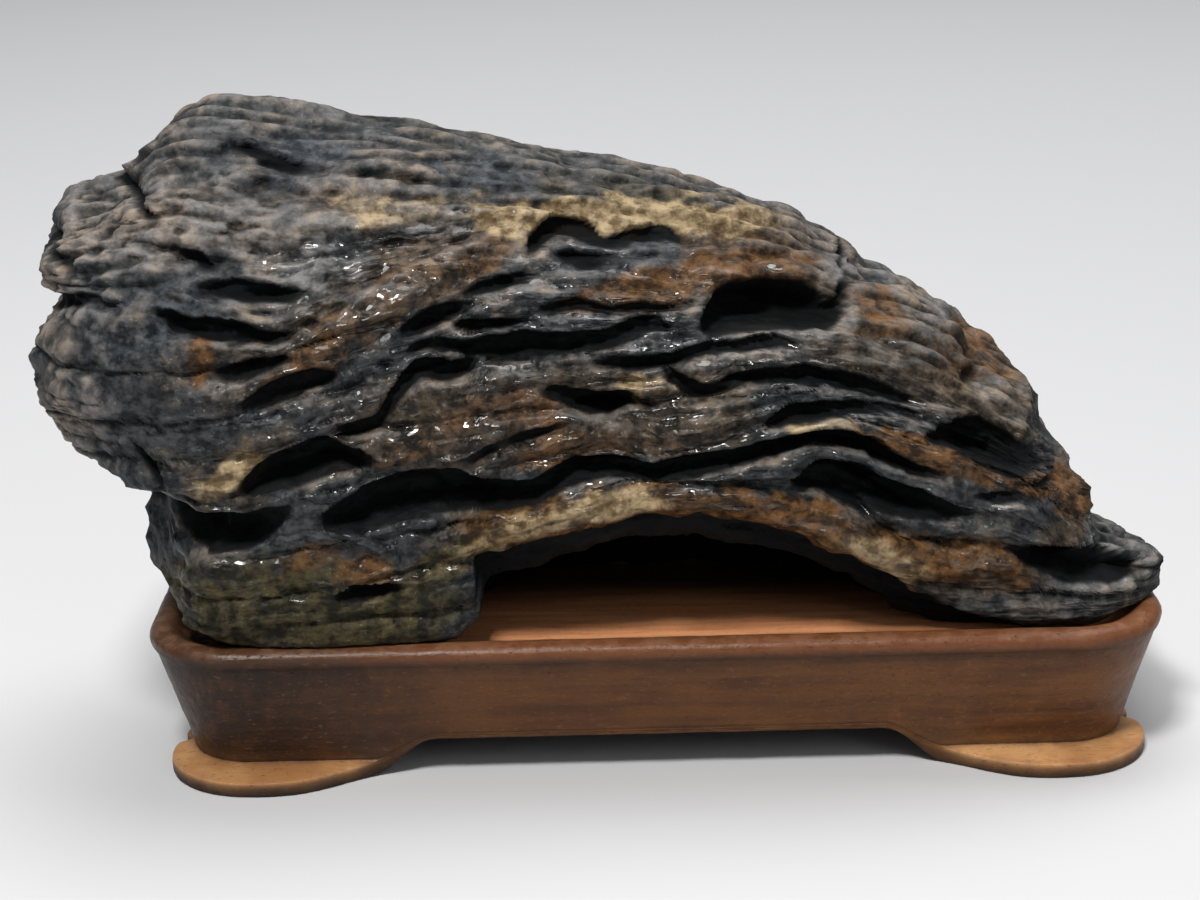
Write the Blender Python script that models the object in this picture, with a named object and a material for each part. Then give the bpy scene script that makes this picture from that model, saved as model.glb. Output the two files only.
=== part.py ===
"""A layered scholar's rock resting in its carved wooden stand.

+Z is up, the face that is shown is toward -Y, and the long way is X. Lengths are in millimetres
until a mesh is made, and MM turns them into metres. Both pieces are laid out about the middle of
the stand on the table, and the last step moves them so that the origin is the middle of the whole
object's footprint.
"""

import itertools

import bpy
import numpy as np

MM = 0.001

# Driving dimensions of the stand.
STAND_LENGTH = 262.0
STAND_DEPTH = 104.0
STAND_HEIGHT = 38.0
LIP_CORNER_RADIUS = 25.0
FLOOR_HEIGHT = 34.5
APRON_HEIGHT = 10.0
PANEL_HEIGHT = 22.0
SIDE_FLARE = 1.2

# Driving dimensions of the rock.
ROCK_RIGHT = 132.0
SEAT_GAP = 0.3
RIM_GAP = 0.9
RIM_CLIMB = (13.5, 8.5)
LEFT_ROUNDING = 13.0
RIGHT_ROUNDING = 12.0
END_POWER = 2.6

# How finely the rock is sampled, and how many triangles its solid keeps.
ROCK_COLUMNS = 230
ROCK_ROWS = 190
ROCK_TRIANGLES = 7400
TRIAL_ANGLES = 241
FRONT_SHARE = 1.0
BACK_SHARE = 0.55
SHARE_ANGLES = (2.1, 1.0)
SHARE_MIDDLE = 0.25
FLOOR_SAVING = 0.6
ANGLE_PASSES = 12
NORMAL_PASSES = 6

# Where along the rock its rays begin to fan round the ends, and how far they feel for the surface.
LEFT_FAN = 0.17
RIGHT_FAN = 0.91
NEAREST_SURFACE = 2.0
FARTHEST_SURFACE = 190.0
HALVINGS = 20

# Outlines of the rock, as (x, value) knots: its crest, its underside, its widest level, and how far
# its front, its ridge and its back stand from the middle of the stand.
CREST = [
    (-160, 143), (-144, 146.5), (-138, 148.6), (-133, 151.6), (-129, 155.5), (-123, 160.5),
    (-112, 164.6), (-98, 163.6), (-81, 162.2), (-63, 159.5), (-49, 156), (-34, 152), (-24, 149.5),
    (-20, 148), (-12, 147), (3, 142.5), (19, 138.2), (36, 133), (44, 129), (50, 125.5), (54, 121.5),
    (57, 119), (61, 117.2), (67.5, 113.8), (73, 110.4), (78.5, 106.8), (83.5, 103.2), (89, 100.4),
    (93.5, 96.6), (96, 92.4), (97.6, 87.5), (99.4, 81.5), (102.5, 77), (106, 73), (108.2, 68),
    (109.5, 62.5), (112, 58.2), (117, 55), (124, 52.6), (128, 50.8), (133, 47),
]
FOOT = [
    (-160, 78), (-150, 77), (-144, 75), (-139, 73), (-135.5, 72), (-132.5, 68), (-131, 60),
    (-130, 51), (-127, 44), (-122, 38), (-115, 34), (-107, 33), (0, 33), (118, 33), (124, 34),
    (132, 37),
]
WAIST = [
    (-160, 112), (-135, 108), (-110, 98), (-60, 88), (0, 76), (60, 66), (90, 58), (104, 54.5),
    (112, 51.5), (122, 48), (132, 43.5),
]
FRONT = [
    (-160, -30), (-150, -34), (-140, -42), (-125, -48), (-105, -50.5), (-60, -49), (-45, -47),
    (0, -46), (60, -45), (90, -44.5), (110, -42), (122, -35), (132, -27),
]
BACK = [
    (-160, 26), (-150, 30), (-140, 36), (-120, 42), (-90, 46), (-40, 47), (20, 45), (70, 42),
    (100, 38), (120, 30), (132, 24),
]
RIDGE = [(-160, 12), (64, 12), (84, 8), (100, -2), (112, -12), (124, -18), (132, -20)]

# How steeply the stone falls off behind its ridge, as height over depth.
BACK_FALL = [(-160, 0), (74, 0), (84, 0.1), (96, 0.32), (110, 0.42), (132, 0.45)]

# How far the left end reaches, as (level, x) knots: a lobe over a notch over a lobe.
LEFT_END = [
    (70, -146), (78, -151), (90, -155.5), (103, -156.5), (112, -154.5), (121, -150.5), (129, -154),
    (136, -156.5), (146, -155.5), (160, -153),
]

# How much slimmer the left foot is than the overhang above it, by place along the rock and level.
LEFT_FOOT_TAPER = 0.35
LEFT_FOOT_PLACES = (-108, -130)
LEFT_FOOT_LEVELS = (84, 68)

# How square each section is above and below its widest level: 2 is an ellipse, more is squarer.
TOP_POWER = [(-160, 2.4), (-140, 2.0), (-110, 1.6), (-40, 1.7), (20, 1.9), (90, 2.0), (132, 2.2)]
LOW_POWER = [(-160, 3), (-133, 3), (-126, 4), (-110, 9), (0, 9), (110, 9), (132, 4)]

# The arched hollow under the front: its lip, how far back it reaches, and the ledge hanging inside.
ARCH_LIP = [
    (-60, 52), (-50, 57), (-43, 60), (-36, 62), (-28, 64), (-18, 67),
    (-10, 69), (0, 70), (10, 69.5), (20, 68), (30, 65.5), (40, 61), (50, 56), (58, 51), (64, 47),
    (70, 43.5), (78, 40.5), (88, 38), (94, 35), (104, 28),
]
ARCH_BACK = [
    (-60, -20), (-46, -8), (-40, 2), (-30, 10), (0, 13), (30, 11), (45, 4), (55, -8), (64, -18),
    (75, -27), (88, -34), (104, -42),
]
ARCH_LEFT = [(30, -56), (36, -52), (42, -47), (48, -44), (54, -45.5), (64, -50), (80, -60)]
ARCH_BLEND = 5.0
ARCH_EDGE_BLEND = 3.5
ARCH_LEFT_SLANT = 0.2
ARCH_LEDGE_DROP = 8.5
ARCH_LEDGE_START = 6.0
ARCH_LEDGE_END = 13.0

# The line inside the rock that its surface is measured from, as (x, value) knots.
CORE_HEIGHT = [(-122, 106), (-60, 100), (-40, 94), (0, 92), (40, 82), (70, 66), (90, 60), (108, 50.5)]
CORE_Y = [(-122, 0), (-70, 4), (-44, 20), (0, 25), (40, 22), (64, 10), (90, 0), (108, -10)]

# Levels that the beds of the stone follow across the front, as bed height: (x, z) knots.
BEDS = {
    30: [(-165, 30), (140, 30)],
    60: [
        (-165, 52), (-128, 51), (-100, 52), (-60, 55), (-42, 60), (-20, 66), (0, 70), (20, 68),
        (40, 61), (60, 51), (80, 46), (110, 42), (140, 37),
    ],
    76: [
        (-165, 73), (-128, 73), (-108, 71), (-90, 73), (-78, 74), (-60, 78), (-40, 77), (-22, 80),
        (-12, 82), (0, 81), (18, 84), (32, 87), (44, 88), (54, 85), (66, 79), (80, 74), (95, 68),
        (110, 58), (125, 50), (140, 44),
    ],
    104: [
        (-165, 96), (-120, 97), (-100, 101), (-80, 106), (-60, 108), (-40, 111), (-20, 111),
        (0, 110), (30, 108), (45, 105), (60, 100), (75, 93), (90, 84), (105, 72), (120, 57),
        (140, 49),
    ],
    120: [
        (-165, 124), (-119, 123), (-100, 118), (-91, 117), (-80, 121), (-62, 126), (-45, 125),
        (-28, 121), (0, 119), (30, 116), (45, 115), (60, 110), (75, 103), (90, 94), (105, 80),
        (120, 61), (140, 53),
    ],
    137: [
        (-165, 140), (-120, 140), (-100, 137), (-60, 136), (-20, 137), (0, 134), (20, 131),
        (40, 125), (52, 121), (64, 116), (80, 106), (92, 98), (105, 84), (120, 65), (140, 57),
    ],
    172: [
        (-165, 172), (-110, 176), (-60, 172), (0, 156), (40, 144), (60, 128), (80, 117), (100, 96),
        (120, 72), (140, 62),
    ],
}

# Gaps between the beds of the front, each a line of (x, z, half height, depth) knots. The stone
# above a gap hangs over it, and each gap closes at its two ends.
FRONT_GAPS = [
    # Top left, from the crest down to the wide hollow above the foot.
    [(-107, 157, 1.0, 1.5), (-99, 156, 1.8, 3.0), (-90, 152.5, 1.8, 2.6), (-80, 151, 1.0, 1.2)],
    [(-100, 148, 1.0, 1.0), (-93, 149, 2.2, 2.0), (-84, 147, 1.0, 1.0)],
    [(-142, 150, 1.0, 1.5), (-134, 149, 1.4, 2.6), (-127, 146.5, 1.4, 2.4), (-121, 143, 1.0, 1.0)],
    [(-116, 138, 1.0, 1.0), (-110, 134.5, 1.3, 3.0), (-104, 131, 1.0, 1.0)],
    [(-111, 128, 1.4, 1.5), (-100, 127.5, 2.4, 4.0), (-90, 126, 2.0, 3.5), (-82, 125, 1.0, 1.0)],
    [(-121, 124, 1.2, 1.5), (-115, 121.5, 1.9, 5.0), (-100, 118.5, 2.0, 5.5), (-88, 116, 1.2, 2)],
    [(-158, 121, 2.6, 4.0), (-150, 122, 2.4, 3.5), (-140, 126, 1.6, 2.4), (-128, 124, 1.0, 1.0)],
    [(-156, 137, 1.4, 1.6), (-146, 134, 1.5, 2.2), (-137, 130, 1.0, 1.0)],
    [(-107, 109, 1.0, 1.5), (-99, 110, 2.2, 4.5), (-91, 111.5, 1.6, 3.0), (-86, 112, 1.0, 1.0)],
    [(-101, 101, 1.0, 1.0), (-94, 104, 2.4, 5.0), (-84, 107, 2.4, 5.0), (-76, 108, 1.2, 1.5)],
    [(-130, 92, 1.0, 1.0), (-124, 87, 1.6, 3.0), (-120, 80, 1.6, 3.0)],
    # The wide hollow on the left, and the crack that climbs from it.
    [
        (-102, 80, 1.5, 2.0), (-96, 84, 3.4, 8.0), (-88, 87, 4.4, 11.0), (-80, 89, 4.4, 11.0),
        (-74, 88, 3.0, 7.0), (-68, 86, 1.5, 2.0),
    ],
    [(-79, 95, 1.0, 1.0), (-73, 95.5, 1.8, 4.0), (-67, 97, 1.6, 4.0), (-63, 102, 1.6, 4.0),
     (-58, 107.5, 2.0, 5.0), (-48, 107.5, 2.2, 5.5), (-42, 109.5, 1.6, 3.0)],
    # The recess between the left foot and the overhang.
    [
        (-134, 73, 3.0, 3.0), (-126, 72, 3.6, 6.0), (-118, 70.5, 4.4, 10.0), (-108, 70, 4.8, 12.0),
        (-98, 71, 4.0, 9.0), (-92, 74, 2.4, 4.0), (-88, 76, 1.2, 1.0),
    ],
    [(-80, 51.5, 1.0, 2.0), (-75, 52.3, 1.9, 6.0), (-69, 53, 1.9, 6.0), (-63, 53.6, 1.0, 2.0)],
    # The long gap over the arch.
    [
        (-82, 72, 2.0, 3.0), (-75, 74, 4.0, 9.0), (-60, 78, 5.4, 13.0), (-50, 78.5, 5.0, 13.0),
        (-40, 77, 3.6, 11.0), (-30, 77.5, 3.0, 9.0), (-22, 81, 2.8, 8.5), (-12, 83, 2.8, 8.5),
        (0, 82, 2.6, 8.5), (10, 83, 2.4, 8.0), (20, 84.5, 2.2, 7.0), (30, 86.5, 1.8, 6.0),
        (40, 88.3, 1.6, 5.5), (48, 87.8, 1.8, 6.0), (54, 85, 1.8, 6.0), (62, 80.5, 1.6, 4.5),
        (72, 77, 1.0, 1.0),
    ],
    # Short gaps in the middle of the front, from the top down.
    [(-31, 131, 1.0, 1.0), (-27, 135, 1.8, 4.5), (-21, 137, 2.2, 5.0), (-16, 135.5, 2.0, 4.0),
     (-10, 133, 1.6, 3.0), (-2, 133.5, 1.8, 3.5), (8, 133, 1.4, 2.5), (13, 131, 1.0, 1.0)],
    [(-25, 131.5, 1.0, 1.0), (-18, 129.5, 1.8, 3.5), (-8, 129, 1.4, 2.0), (0, 128.5, 1.0, 1.0)],
    [(-48, 122.5, 1.0, 1.0), (-41, 125, 1.6, 3.5), (-34, 126, 1.4, 3.0), (-27, 126.5, 1.0, 1.0)],
    [(-62, 116, 1.2, 1.5), (-56, 118.7, 2.2, 5.0), (-50, 120.5, 2.0, 5.0), (-42, 122, 1.0, 1.5)],
    [(-52, 118, 1.0, 1.0), (-42, 117, 1.4, 3.0), (-32, 117, 1.2, 2.0), (-29, 117, 1.0, 1.0)],
    [(-30, 119, 1.0, 1.0), (-22, 120, 1.4, 3.5), (-12, 119, 1.2, 2.5), (0, 118.5, 1.2, 2.5),
     (10, 118.5, 1.0, 1.5)],
    [(-62, 110.5, 1.0, 1.0), (-56, 113.5, 1.4, 3.0), (-46, 112.5, 1.6, 4.0), (-38, 112, 2.6, 7.0),
     (-28, 112, 3.0, 7.5), (-18, 112, 2.4, 6.5), (-9, 113, 2.2, 5.5), (0, 115, 2.0, 4.5),
     (5, 114, 1.2, 2.0)],
    [(-14, 107.5, 1.0, 1.0), (-6, 106.8, 1.5, 3.5), (4, 107, 1.5, 3.5), (12, 109, 1.4, 3.5),
     (20, 109.2, 1.5, 3.5), (30, 110, 1.5, 3.5), (36, 108.5, 1.0, 1.5)],
    [(1, 105, 1.0, 1.0), (8, 101.5, 1.8, 5.0), (14, 100, 1.7, 4.5), (22, 102.5, 1.6, 4.0),
     (31, 102.5, 2.0, 5.0), (42, 101.8, 2.0, 5.5), (52, 99, 1.9, 5.0), (60, 96, 1.6, 3.5),
     (68, 93, 1.0, 1.0)],
    [(-28, 101, 1.0, 1.0), (-23, 100, 2.0, 5.0), (-16, 98.6, 2.6, 7.5), (-9, 98.6, 2.4, 6.5),
     (-4, 99.5, 1.0, 1.5)],
    [(27, 91, 1.0, 1.0), (33, 93.3, 1.8, 4.5), (40, 94, 2.0, 5.0), (47, 94.2, 1.6, 4.0),
     (56, 93.8, 1.4, 3.0), (64, 91.5, 1.2, 2.0), (72, 89, 1.0, 1.0)],
    [(-40, 87.5, 1.0, 1.0), (-33, 90, 1.5, 3.0), (-26, 92, 1.2, 2.5), (-20, 93, 1.0, 1.0)],
    [(-52, 83.8, 1.0, 1.0), (-45, 86, 1.4, 2.5), (-36, 89.5, 1.2, 2.0), (-30, 91, 1.0, 1.0)],
    # The cave under the nose of the upper slab.
    [
        (12, 113, 1.2, 2.0), (17, 117, 4.0, 9.0), (24, 118.5, 4.6, 13.0), (34, 118, 4.4, 14.0),
        (42, 116.5, 3.4, 11.0), (47, 114.5, 2.4, 6.0), (52, 119, 1.2, 3.0),
    ],
    [(49, 117, 1.0, 2.0), (51.5, 121, 1.1, 3.5), (54, 125, 1.1, 3.5), (57, 129, 1.0, 2.5)],
    # The hollows on the right, from the top down.
    [(79, 97.3, 1.0, 1.5), (84, 97.5, 1.5, 4.5), (89, 98.3, 1.0, 1.5)],
    [
        (67, 85.5, 1.2, 1.5), (73, 86, 2.4, 7.0), (80, 85.3, 4.2, 12.0), (88, 82.5, 4.8, 12.0),
        (94, 79.5, 2.8, 7.0), (101, 78.6, 1.6, 4.0), (109, 79.5, 1.2, 2.0),
    ],
    [(88, 73, 1.0, 1.0), (96, 73.5, 1.4, 3.0), (103, 72.4, 1.4, 3.0), (109, 72, 1.0, 1.0)],
    [
        (34, 77, 1.2, 2.0), (39, 78.5, 3.2, 8.0), (46, 77.5, 4.6, 12.0), (54, 75, 4.2, 12.0),
        (62, 72.3, 3.4, 10.0), (69, 70.3, 2.6, 7.0), (77, 68, 1.4, 2.5), (84, 66, 1.0, 1.0),
    ],
    [(78, 72, 1.0, 1.0), (86, 71.5, 1.4, 3.0), (95, 70, 1.0, 1.5)],
    [
        (88, 58, 1.2, 1.5), (95, 55.6, 2.8, 8.0), (103, 54, 3.9, 12.0), (112, 51.6, 3.8, 12.0),
        (119, 49.2, 2.8, 8.0), (125, 47.6, 1.4, 2.5),
    ],
]

# Gaps of the back, as above. They run with the beds and close before they meet the front.
BACK_GAPS = [
    [(-120, 96, 1.5, 2.0), (-95, 92, 3.4, 8.0), (-70, 90, 3.8, 9.0), (-40, 93, 2.4, 6.0),
     (-15, 97, 1.2, 2.0)],
    [(-60, 70, 1.5, 2.0), (-30, 74, 3.6, 8.0), (5, 77, 4.2, 10.0), (40, 73, 3.4, 8.0),
     (75, 62, 1.5, 2.0)],
    [(-100, 122, 1.2, 1.5), (-70, 124, 2.0, 4.5), (-35, 121, 2.4, 5.0), (0, 116, 2.0, 4.5),
     (30, 110, 1.2, 1.5)],
    [(-118, 60, 1.5, 2.0), (-95, 57, 3.0, 6.0), (-70, 55, 2.6, 5.0), (-45, 54, 1.2, 1.5)],
    [(20, 98, 1.2, 1.5), (45, 94, 2.6, 6.0), (70, 86, 2.6, 6.0), (95, 74, 1.4, 2.0)],
    [(30, 56, 1.2, 1.5), (60, 52, 3.2, 7.0), (90, 47, 2.6, 5.0), (112, 43, 1.2, 1.5)],
    [(-140, 110, 1.2, 1.5), (-120, 112, 2.0, 4.0), (-90, 108, 1.6, 3.0), (-70, 107, 1.0, 1.0)],
]

# Ribs that stand proud of the front, each a line of (x, z, half height, height) knots.
FRONT_RIBS = [
    [(-92, 106, 4.0, 1.0), (-80, 114, 5.0, 3.0), (-64, 124, 5.0, 3.5), (-48, 130, 4.5, 3.0),
     (-36, 134, 3.0, 1.0)],
    [(-60, 58, 3.5, 1.0), (-45, 66, 5.0, 2.5), (-25, 70.5, 4.5, 2.5), (0, 74.5, 3.5, 2.5),
     (20, 73, 4.0, 2.5), (40, 67, 4.5, 3.0), (60, 58, 5.0, 3.0), (80, 54, 5.0, 2.0)],
    [(24, 88.5, 1.2, 0.8), (38, 91, 1.8, 2.2), (50, 90, 1.8, 2.2), (62, 85, 1.8, 2.0),
     (78, 79.5, 2.2, 2.0), (94, 74.5, 1.6, 0.8)],
    [(32, 81.5, 1.2, 0.8), (40, 84.5, 1.5, 1.8), (47, 84, 1.5, 1.8), (58, 79.5, 1.3, 1.2),
     (72, 75, 1.0, 0.6)],
    [(-88, 72, 1.6, 0.8), (-78, 70, 2.2, 2.4), (-70, 65, 2.2, 2.4), (-62, 58, 1.8, 1.2)],
    [(-103, 77, 1.2, 0.6), (-95, 80.5, 1.4, 2.0), (-86, 80, 1.4, 2.0), (-79, 78, 1.3, 1.8),
     (-72, 81, 1.2, 0.6)],
    [(20, 124, 2.0, 0.6), (32, 124, 3.0, 2.0), (44, 122, 3.5, 3.0), (50, 121, 2.5, 2.0)],
    [(44, 116, 3.0, 0.6), (56, 112, 5.0, 2.2), (70, 104, 6.0, 2.0), (84, 99, 4.0, 1.5)],
    [(-130, 132, 5.0, 0.6), (-112, 141, 6.0, 1.8), (-90, 140, 5.0, 1.6), (-70, 139, 3.0, 0.8)],
]

# Random forms of the surface, as their height and their size along X, Y and Z, and the beds, as
# their thickness and a number that sets them apart.
WIDE_LUMPS = (2.2, 38.0, 38.0, 30.0)
SMALL_LUMPS = (1.1, 15.0, 15.0, 12.0)
TOP_GROOVES = (0.9, 42.0, 4.5, 6.0)
BED_SETS = ((11.0, 0.0), (4.4, 31.0))
WIDE_WAVE = (2.6, 34.0, 34.0, 18.0)
SMALL_WAVE = (1.0, 11.0, 11.0, 8.0)
BED_STAND = (0.17, 30.0, 30.0, 1 / 7.3)
BED_NOSE = 0.07
BED_CREASE = 0.09
BED_DIP = 0.1
GAP_OVERHANG = 0.5
FLAT_WAY = 0.35
HIGH_REACH = 1.4
SEAT_FADE = (0.4, 5.0)
NOISE_SEED = 23
LATTICE = 256
GENERATOR = np.random.default_rng(NOISE_SEED)
ORDER = GENERATOR.permutation(LATTICE)
SLOPES = GENERATOR.normal(size=(LATTICE, 3))
SLOPES /= np.linalg.norm(SLOPES, axis=1, keepdims=True)


def curve(knots, at, column=1):
    """Read a smooth curve through hand-set knots, at positions of any shape."""
    x = np.array([k[0] for k in knots], float)
    y = np.array([k[column] for k in knots], float)
    slope = np.gradient(y, x)
    i = np.clip(np.searchsorted(x, at) - 1, 0, len(x) - 2)
    span = x[i + 1] - x[i]
    t = np.clip((at - x[i]) / span, 0, 1)
    return (
        (2 * t**3 - 3 * t**2 + 1) * y[i]
        + (t**3 - 2 * t**2 + t) * span * slope[i]
        + (3 * t**2 - 2 * t**3) * y[i + 1]
        + (t**3 - t**2) * span * slope[i + 1]
    )


def smooth_step(low, high, value):
    """Rise from 0 at low to 1 at high without a corner."""
    t = np.clip((value - low) / (high - low), 0, 1)
    return t * t * (3 - 2 * t)


def noise(x, y, z):
    """Smooth random values of about -1 to 1 that change over each unit of length."""
    point = np.stack(np.broadcast_arrays(x, y, z), axis=-1).reshape(-1, 3)
    cell = np.floor(point).astype(int)
    local = point - cell
    fade = local**3 * (local * (local * 6 - 15) + 10)
    total = np.zeros(len(point))
    for corner in itertools.product((0, 1), repeat=3):
        key = (cell + corner) % LATTICE
        pick = ORDER[(ORDER[key[:, 0]] + key[:, 1]) % LATTICE]
        pick = ORDER[(pick + key[:, 2]) % LATTICE]
        weight = np.prod(np.where(np.array(corner) == 1, fade, 1 - fade), axis=1)
        total += weight * np.sum(SLOPES[pick] * (local - corner), axis=1)
    return 1.6 * total.reshape(np.shape(x))


def forms(size, x, y, z, apart=0.0):
    """Random forms of one height and size."""
    height, long_size, deep_size, tall_size = size
    return height * noise(x / long_size, y / deep_size + apart, z / tall_size)


def lip_distance(x, y):
    """How far a point lies inside the outline of the stand's lip."""
    beyond_x = np.abs(x) - (STAND_LENGTH / 2 - LIP_CORNER_RADIUS)
    beyond_y = np.abs(y) - (STAND_DEPTH / 2 - LIP_CORNER_RADIUS)
    outside = np.hypot(np.maximum(beyond_x, 0), np.maximum(beyond_y, 0))
    return LIP_CORNER_RADIUS - outside - np.minimum(np.maximum(beyond_x, beyond_y), 0)


def seat_height(x, y):
    """The lowest level that the rock may reach: the tray's floor, and higher over the lip."""
    low = FLOOR_HEIGHT + SEAT_GAP
    return low + (STAND_HEIGHT + RIM_GAP - low) * smooth_step(*RIM_CLIMB, lip_distance(x, y))


def end_taper(x, z):
    """How much of the section is left near the two ends."""
    left = np.clip((curve(LEFT_END, z) + LEFT_ROUNDING - x) / LEFT_ROUNDING, 0, 1)
    right = np.clip((x - ROCK_RIGHT + RIGHT_ROUNDING) / RIGHT_ROUNDING, 0, 1)
    return ((1 - left**END_POWER) * (1 - right**END_POWER)) ** (1 / END_POWER)


def smooth_max(a, b, blend):
    """The larger of two fields, with the corner between them rounded."""
    h = np.clip(0.5 + 0.5 * (a - b) / blend, 0, 1)
    return b + (a - b) * h + blend * h * (1 - h)


def rock_field(x, y, z):
    """Below zero inside the rock, without its beds and gaps, and about in millimetres."""
    seat = seat_height(x, y) - z
    ridge = curve(RIDGE, x)
    z = z + curve(BACK_FALL, x) * np.maximum(y - ridge, 0)
    waist = curve(WAIST, x)
    upper = z > waist
    reach_y = np.where(y < ridge, ridge - curve(FRONT, x), curve(BACK, x) - ridge)
    foot = smooth_step(*LEFT_FOOT_PLACES, x) * smooth_step(*LEFT_FOOT_LEVELS, z)
    reach_y = reach_y * (1 - LEFT_FOOT_TAPER * foot)
    reach_z = np.where(upper, curve(CREST, x) - waist, waist - curve(FOOT, x))
    power = np.where(upper, curve(TOP_POWER, x), curve(LOW_POWER, x))
    spread = np.abs((y - ridge) / reach_y) ** power + np.abs((z - waist) / reach_z) ** power
    body = (spread ** (1 / power) - end_taper(x, z)) * np.minimum(reach_y, reach_z)
    depth = y - curve(FRONT, x)
    ledge = ARCH_LEDGE_DROP * smooth_step(ARCH_LEDGE_START, ARCH_LEDGE_END, depth)
    side = curve(ARCH_LEFT, z) - x - ARCH_LEFT_SLANT * (depth - ARCH_LEDGE_START)
    hollow = smooth_max(z - curve(ARCH_LIP, x) + ledge, y - curve(ARCH_BACK, x), ARCH_BLEND)
    hollow = smooth_max(hollow, side, ARCH_BLEND)
    return np.maximum(smooth_max(body, -hollow, ARCH_EDGE_BLEND), seat)


def ray_lines(column, angle):
    """Start and direction of the rays that feel for the surface.

    They cross the rock square to its length, and fan out round each end. Column runs from 0 to 1
    along the rock, and an angle of 0 points to the front.
    """
    left_end, right_end = CORE_HEIGHT[0][0], CORE_HEIGHT[-1][0]
    tilt = np.select(
        [column < LEFT_FAN, column > RIGHT_FAN],
        [(column - LEFT_FAN) / LEFT_FAN, (column - RIGHT_FAN) / (1 - RIGHT_FAN)],
        0.0,
    ) * (np.pi / 2)
    along = np.clip((column - LEFT_FAN) / (RIGHT_FAN - LEFT_FAN), 0, 1)
    x = left_end + (right_end - left_end) * along
    start = np.stack(np.broadcast_arrays(x, curve(CORE_Y, x), curve(CORE_HEIGHT, x)), -1)
    way = np.stack(
        np.broadcast_arrays(
            np.sin(tilt), -np.cos(tilt) * np.cos(angle), np.cos(tilt) * np.sin(angle)
        ),
        -1,
    )
    return start, way


def meet_surface(start, way):
    """Where each ray leaves the rock, found by halving."""
    near = np.full(start.shape[:-1], NEAREST_SURFACE)
    far = np.full(start.shape[:-1], FARTHEST_SURFACE)
    for _ in range(HALVINGS):
        middle = (near + far) / 2
        point = start + way * middle[..., None]
        inside = rock_field(point[..., 0], point[..., 1], point[..., 2]) < 0
        near = np.where(inside, middle, near)
        far = np.where(inside, far, middle)
    return start + way * near[..., None]


def soften(grid, passes, along=0):
    """Average each value with its neighbours along one side of a grid."""
    for _ in range(passes):
        before = np.concatenate([grid[:1], grid[:-1]]) if along == 0 else np.roll(grid, 1, along)
        after = np.concatenate([grid[1:], grid[-1:]]) if along == 0 else np.roll(grid, -1, along)
        grid = (before + 2 * grid + after) / 4
    return grid


def row_angles(column, rows):
    """Ray angles of each column, spaced so that the front gets the most rows."""
    trial = np.linspace(-np.pi, np.pi, TRIAL_ANGLES)
    start, way = ray_lines(column[:, None], trial[None, :])
    point = meet_surface(start, way)
    step = np.linalg.norm(np.diff(point, axis=1), axis=2)
    middle = (trial[1:] + trial[:-1]) / 2
    share = BACK_SHARE + FRONT_SHARE * smooth_step(*SHARE_ANGLES, np.abs(middle - SHARE_MIDDLE))
    below = smooth_step(-0.75, -1.1, middle) * smooth_step(-2.6, -2.2, middle)
    share = share * (1 - FLOOR_SAVING * below)
    length = np.concatenate([np.zeros((len(column), 1)), np.cumsum(step * share, axis=1)], axis=1)
    wanted = np.linspace(0, 1, rows, endpoint=False)
    angles = [np.interp(wanted, row / row[-1], trial) for row in length]
    return soften(np.array(angles), ANGLE_PASSES)


def base_normals(point):
    """Outward directions of a grid of points, smoothed so that neighbours never cross."""
    along = np.gradient(point, axis=0)
    around = np.roll(point, -1, axis=1) - np.roll(point, 1, axis=1)
    normal = np.cross(along, around)
    normal /= np.maximum(np.linalg.norm(normal, axis=2, keepdims=True), 1e-9)
    normal = soften(soften(normal, NORMAL_PASSES), NORMAL_PASSES, along=1)
    return normal / np.maximum(np.linalg.norm(normal, axis=2, keepdims=True), 1e-9)


def bed_height(x, z):
    """The level in the stack of beds that a point of the front belongs to."""
    levels = sorted(BEDS)
    height = np.full(np.shape(x), float(levels[0]))
    for low, high in zip(levels, levels[1:]):
        bottom, top = curve(BEDS[low], x), curve(BEDS[high], x)
        height = np.where(z > bottom, low + (high - low) * (z - bottom) / (top - bottom), height)
    return height


def line_relief(lines, x, z, overhang):
    """How strongly hand-set lines mark each point, times the depth or height they give."""
    relief = np.zeros(np.shape(x))
    for knots in lines:
        first, last = knots[0][0], knots[-1][0]
        level = curve(knots, x)
        tilt = np.hypot(1, (curve(knots, x + 0.5) - curve(knots, x - 0.5)))
        away = (z - level) / (tilt * curve(knots, x, 2))
        shape = smooth_step(1.25, 0.55, away) * smooth_step(-1.25 - overhang, -0.1, away)
        ends = smooth_step(first - 1.5, first + 1.5, x) * smooth_step(last + 1.5, last - 1.5, x)
        relief = np.maximum(relief, curve(knots, x, 3) * shape * ends)
    return relief


def bed_relief(x, y, z, thickness, seed):
    """Rounded edges of a stack of beds, each standing out by its own amount along the rock."""
    level = bed_height(x, z + BED_DIP * y)
    level = level + forms(WIDE_WAVE, x, y, z, seed) + forms(SMALL_WAVE, x, y, z, seed)
    layer = np.floor(level / thickness)
    place = level / thickness - layer
    nose = 1 - np.abs(2 * place - 0.9) ** 3
    crease = smooth_step(0.1, 0.0, place) + smooth_step(0.93, 1.0, place)
    return thickness * (forms(BED_STAND, x, y, layer, seed) + BED_NOSE * nose - BED_CREASE * crease)


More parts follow.
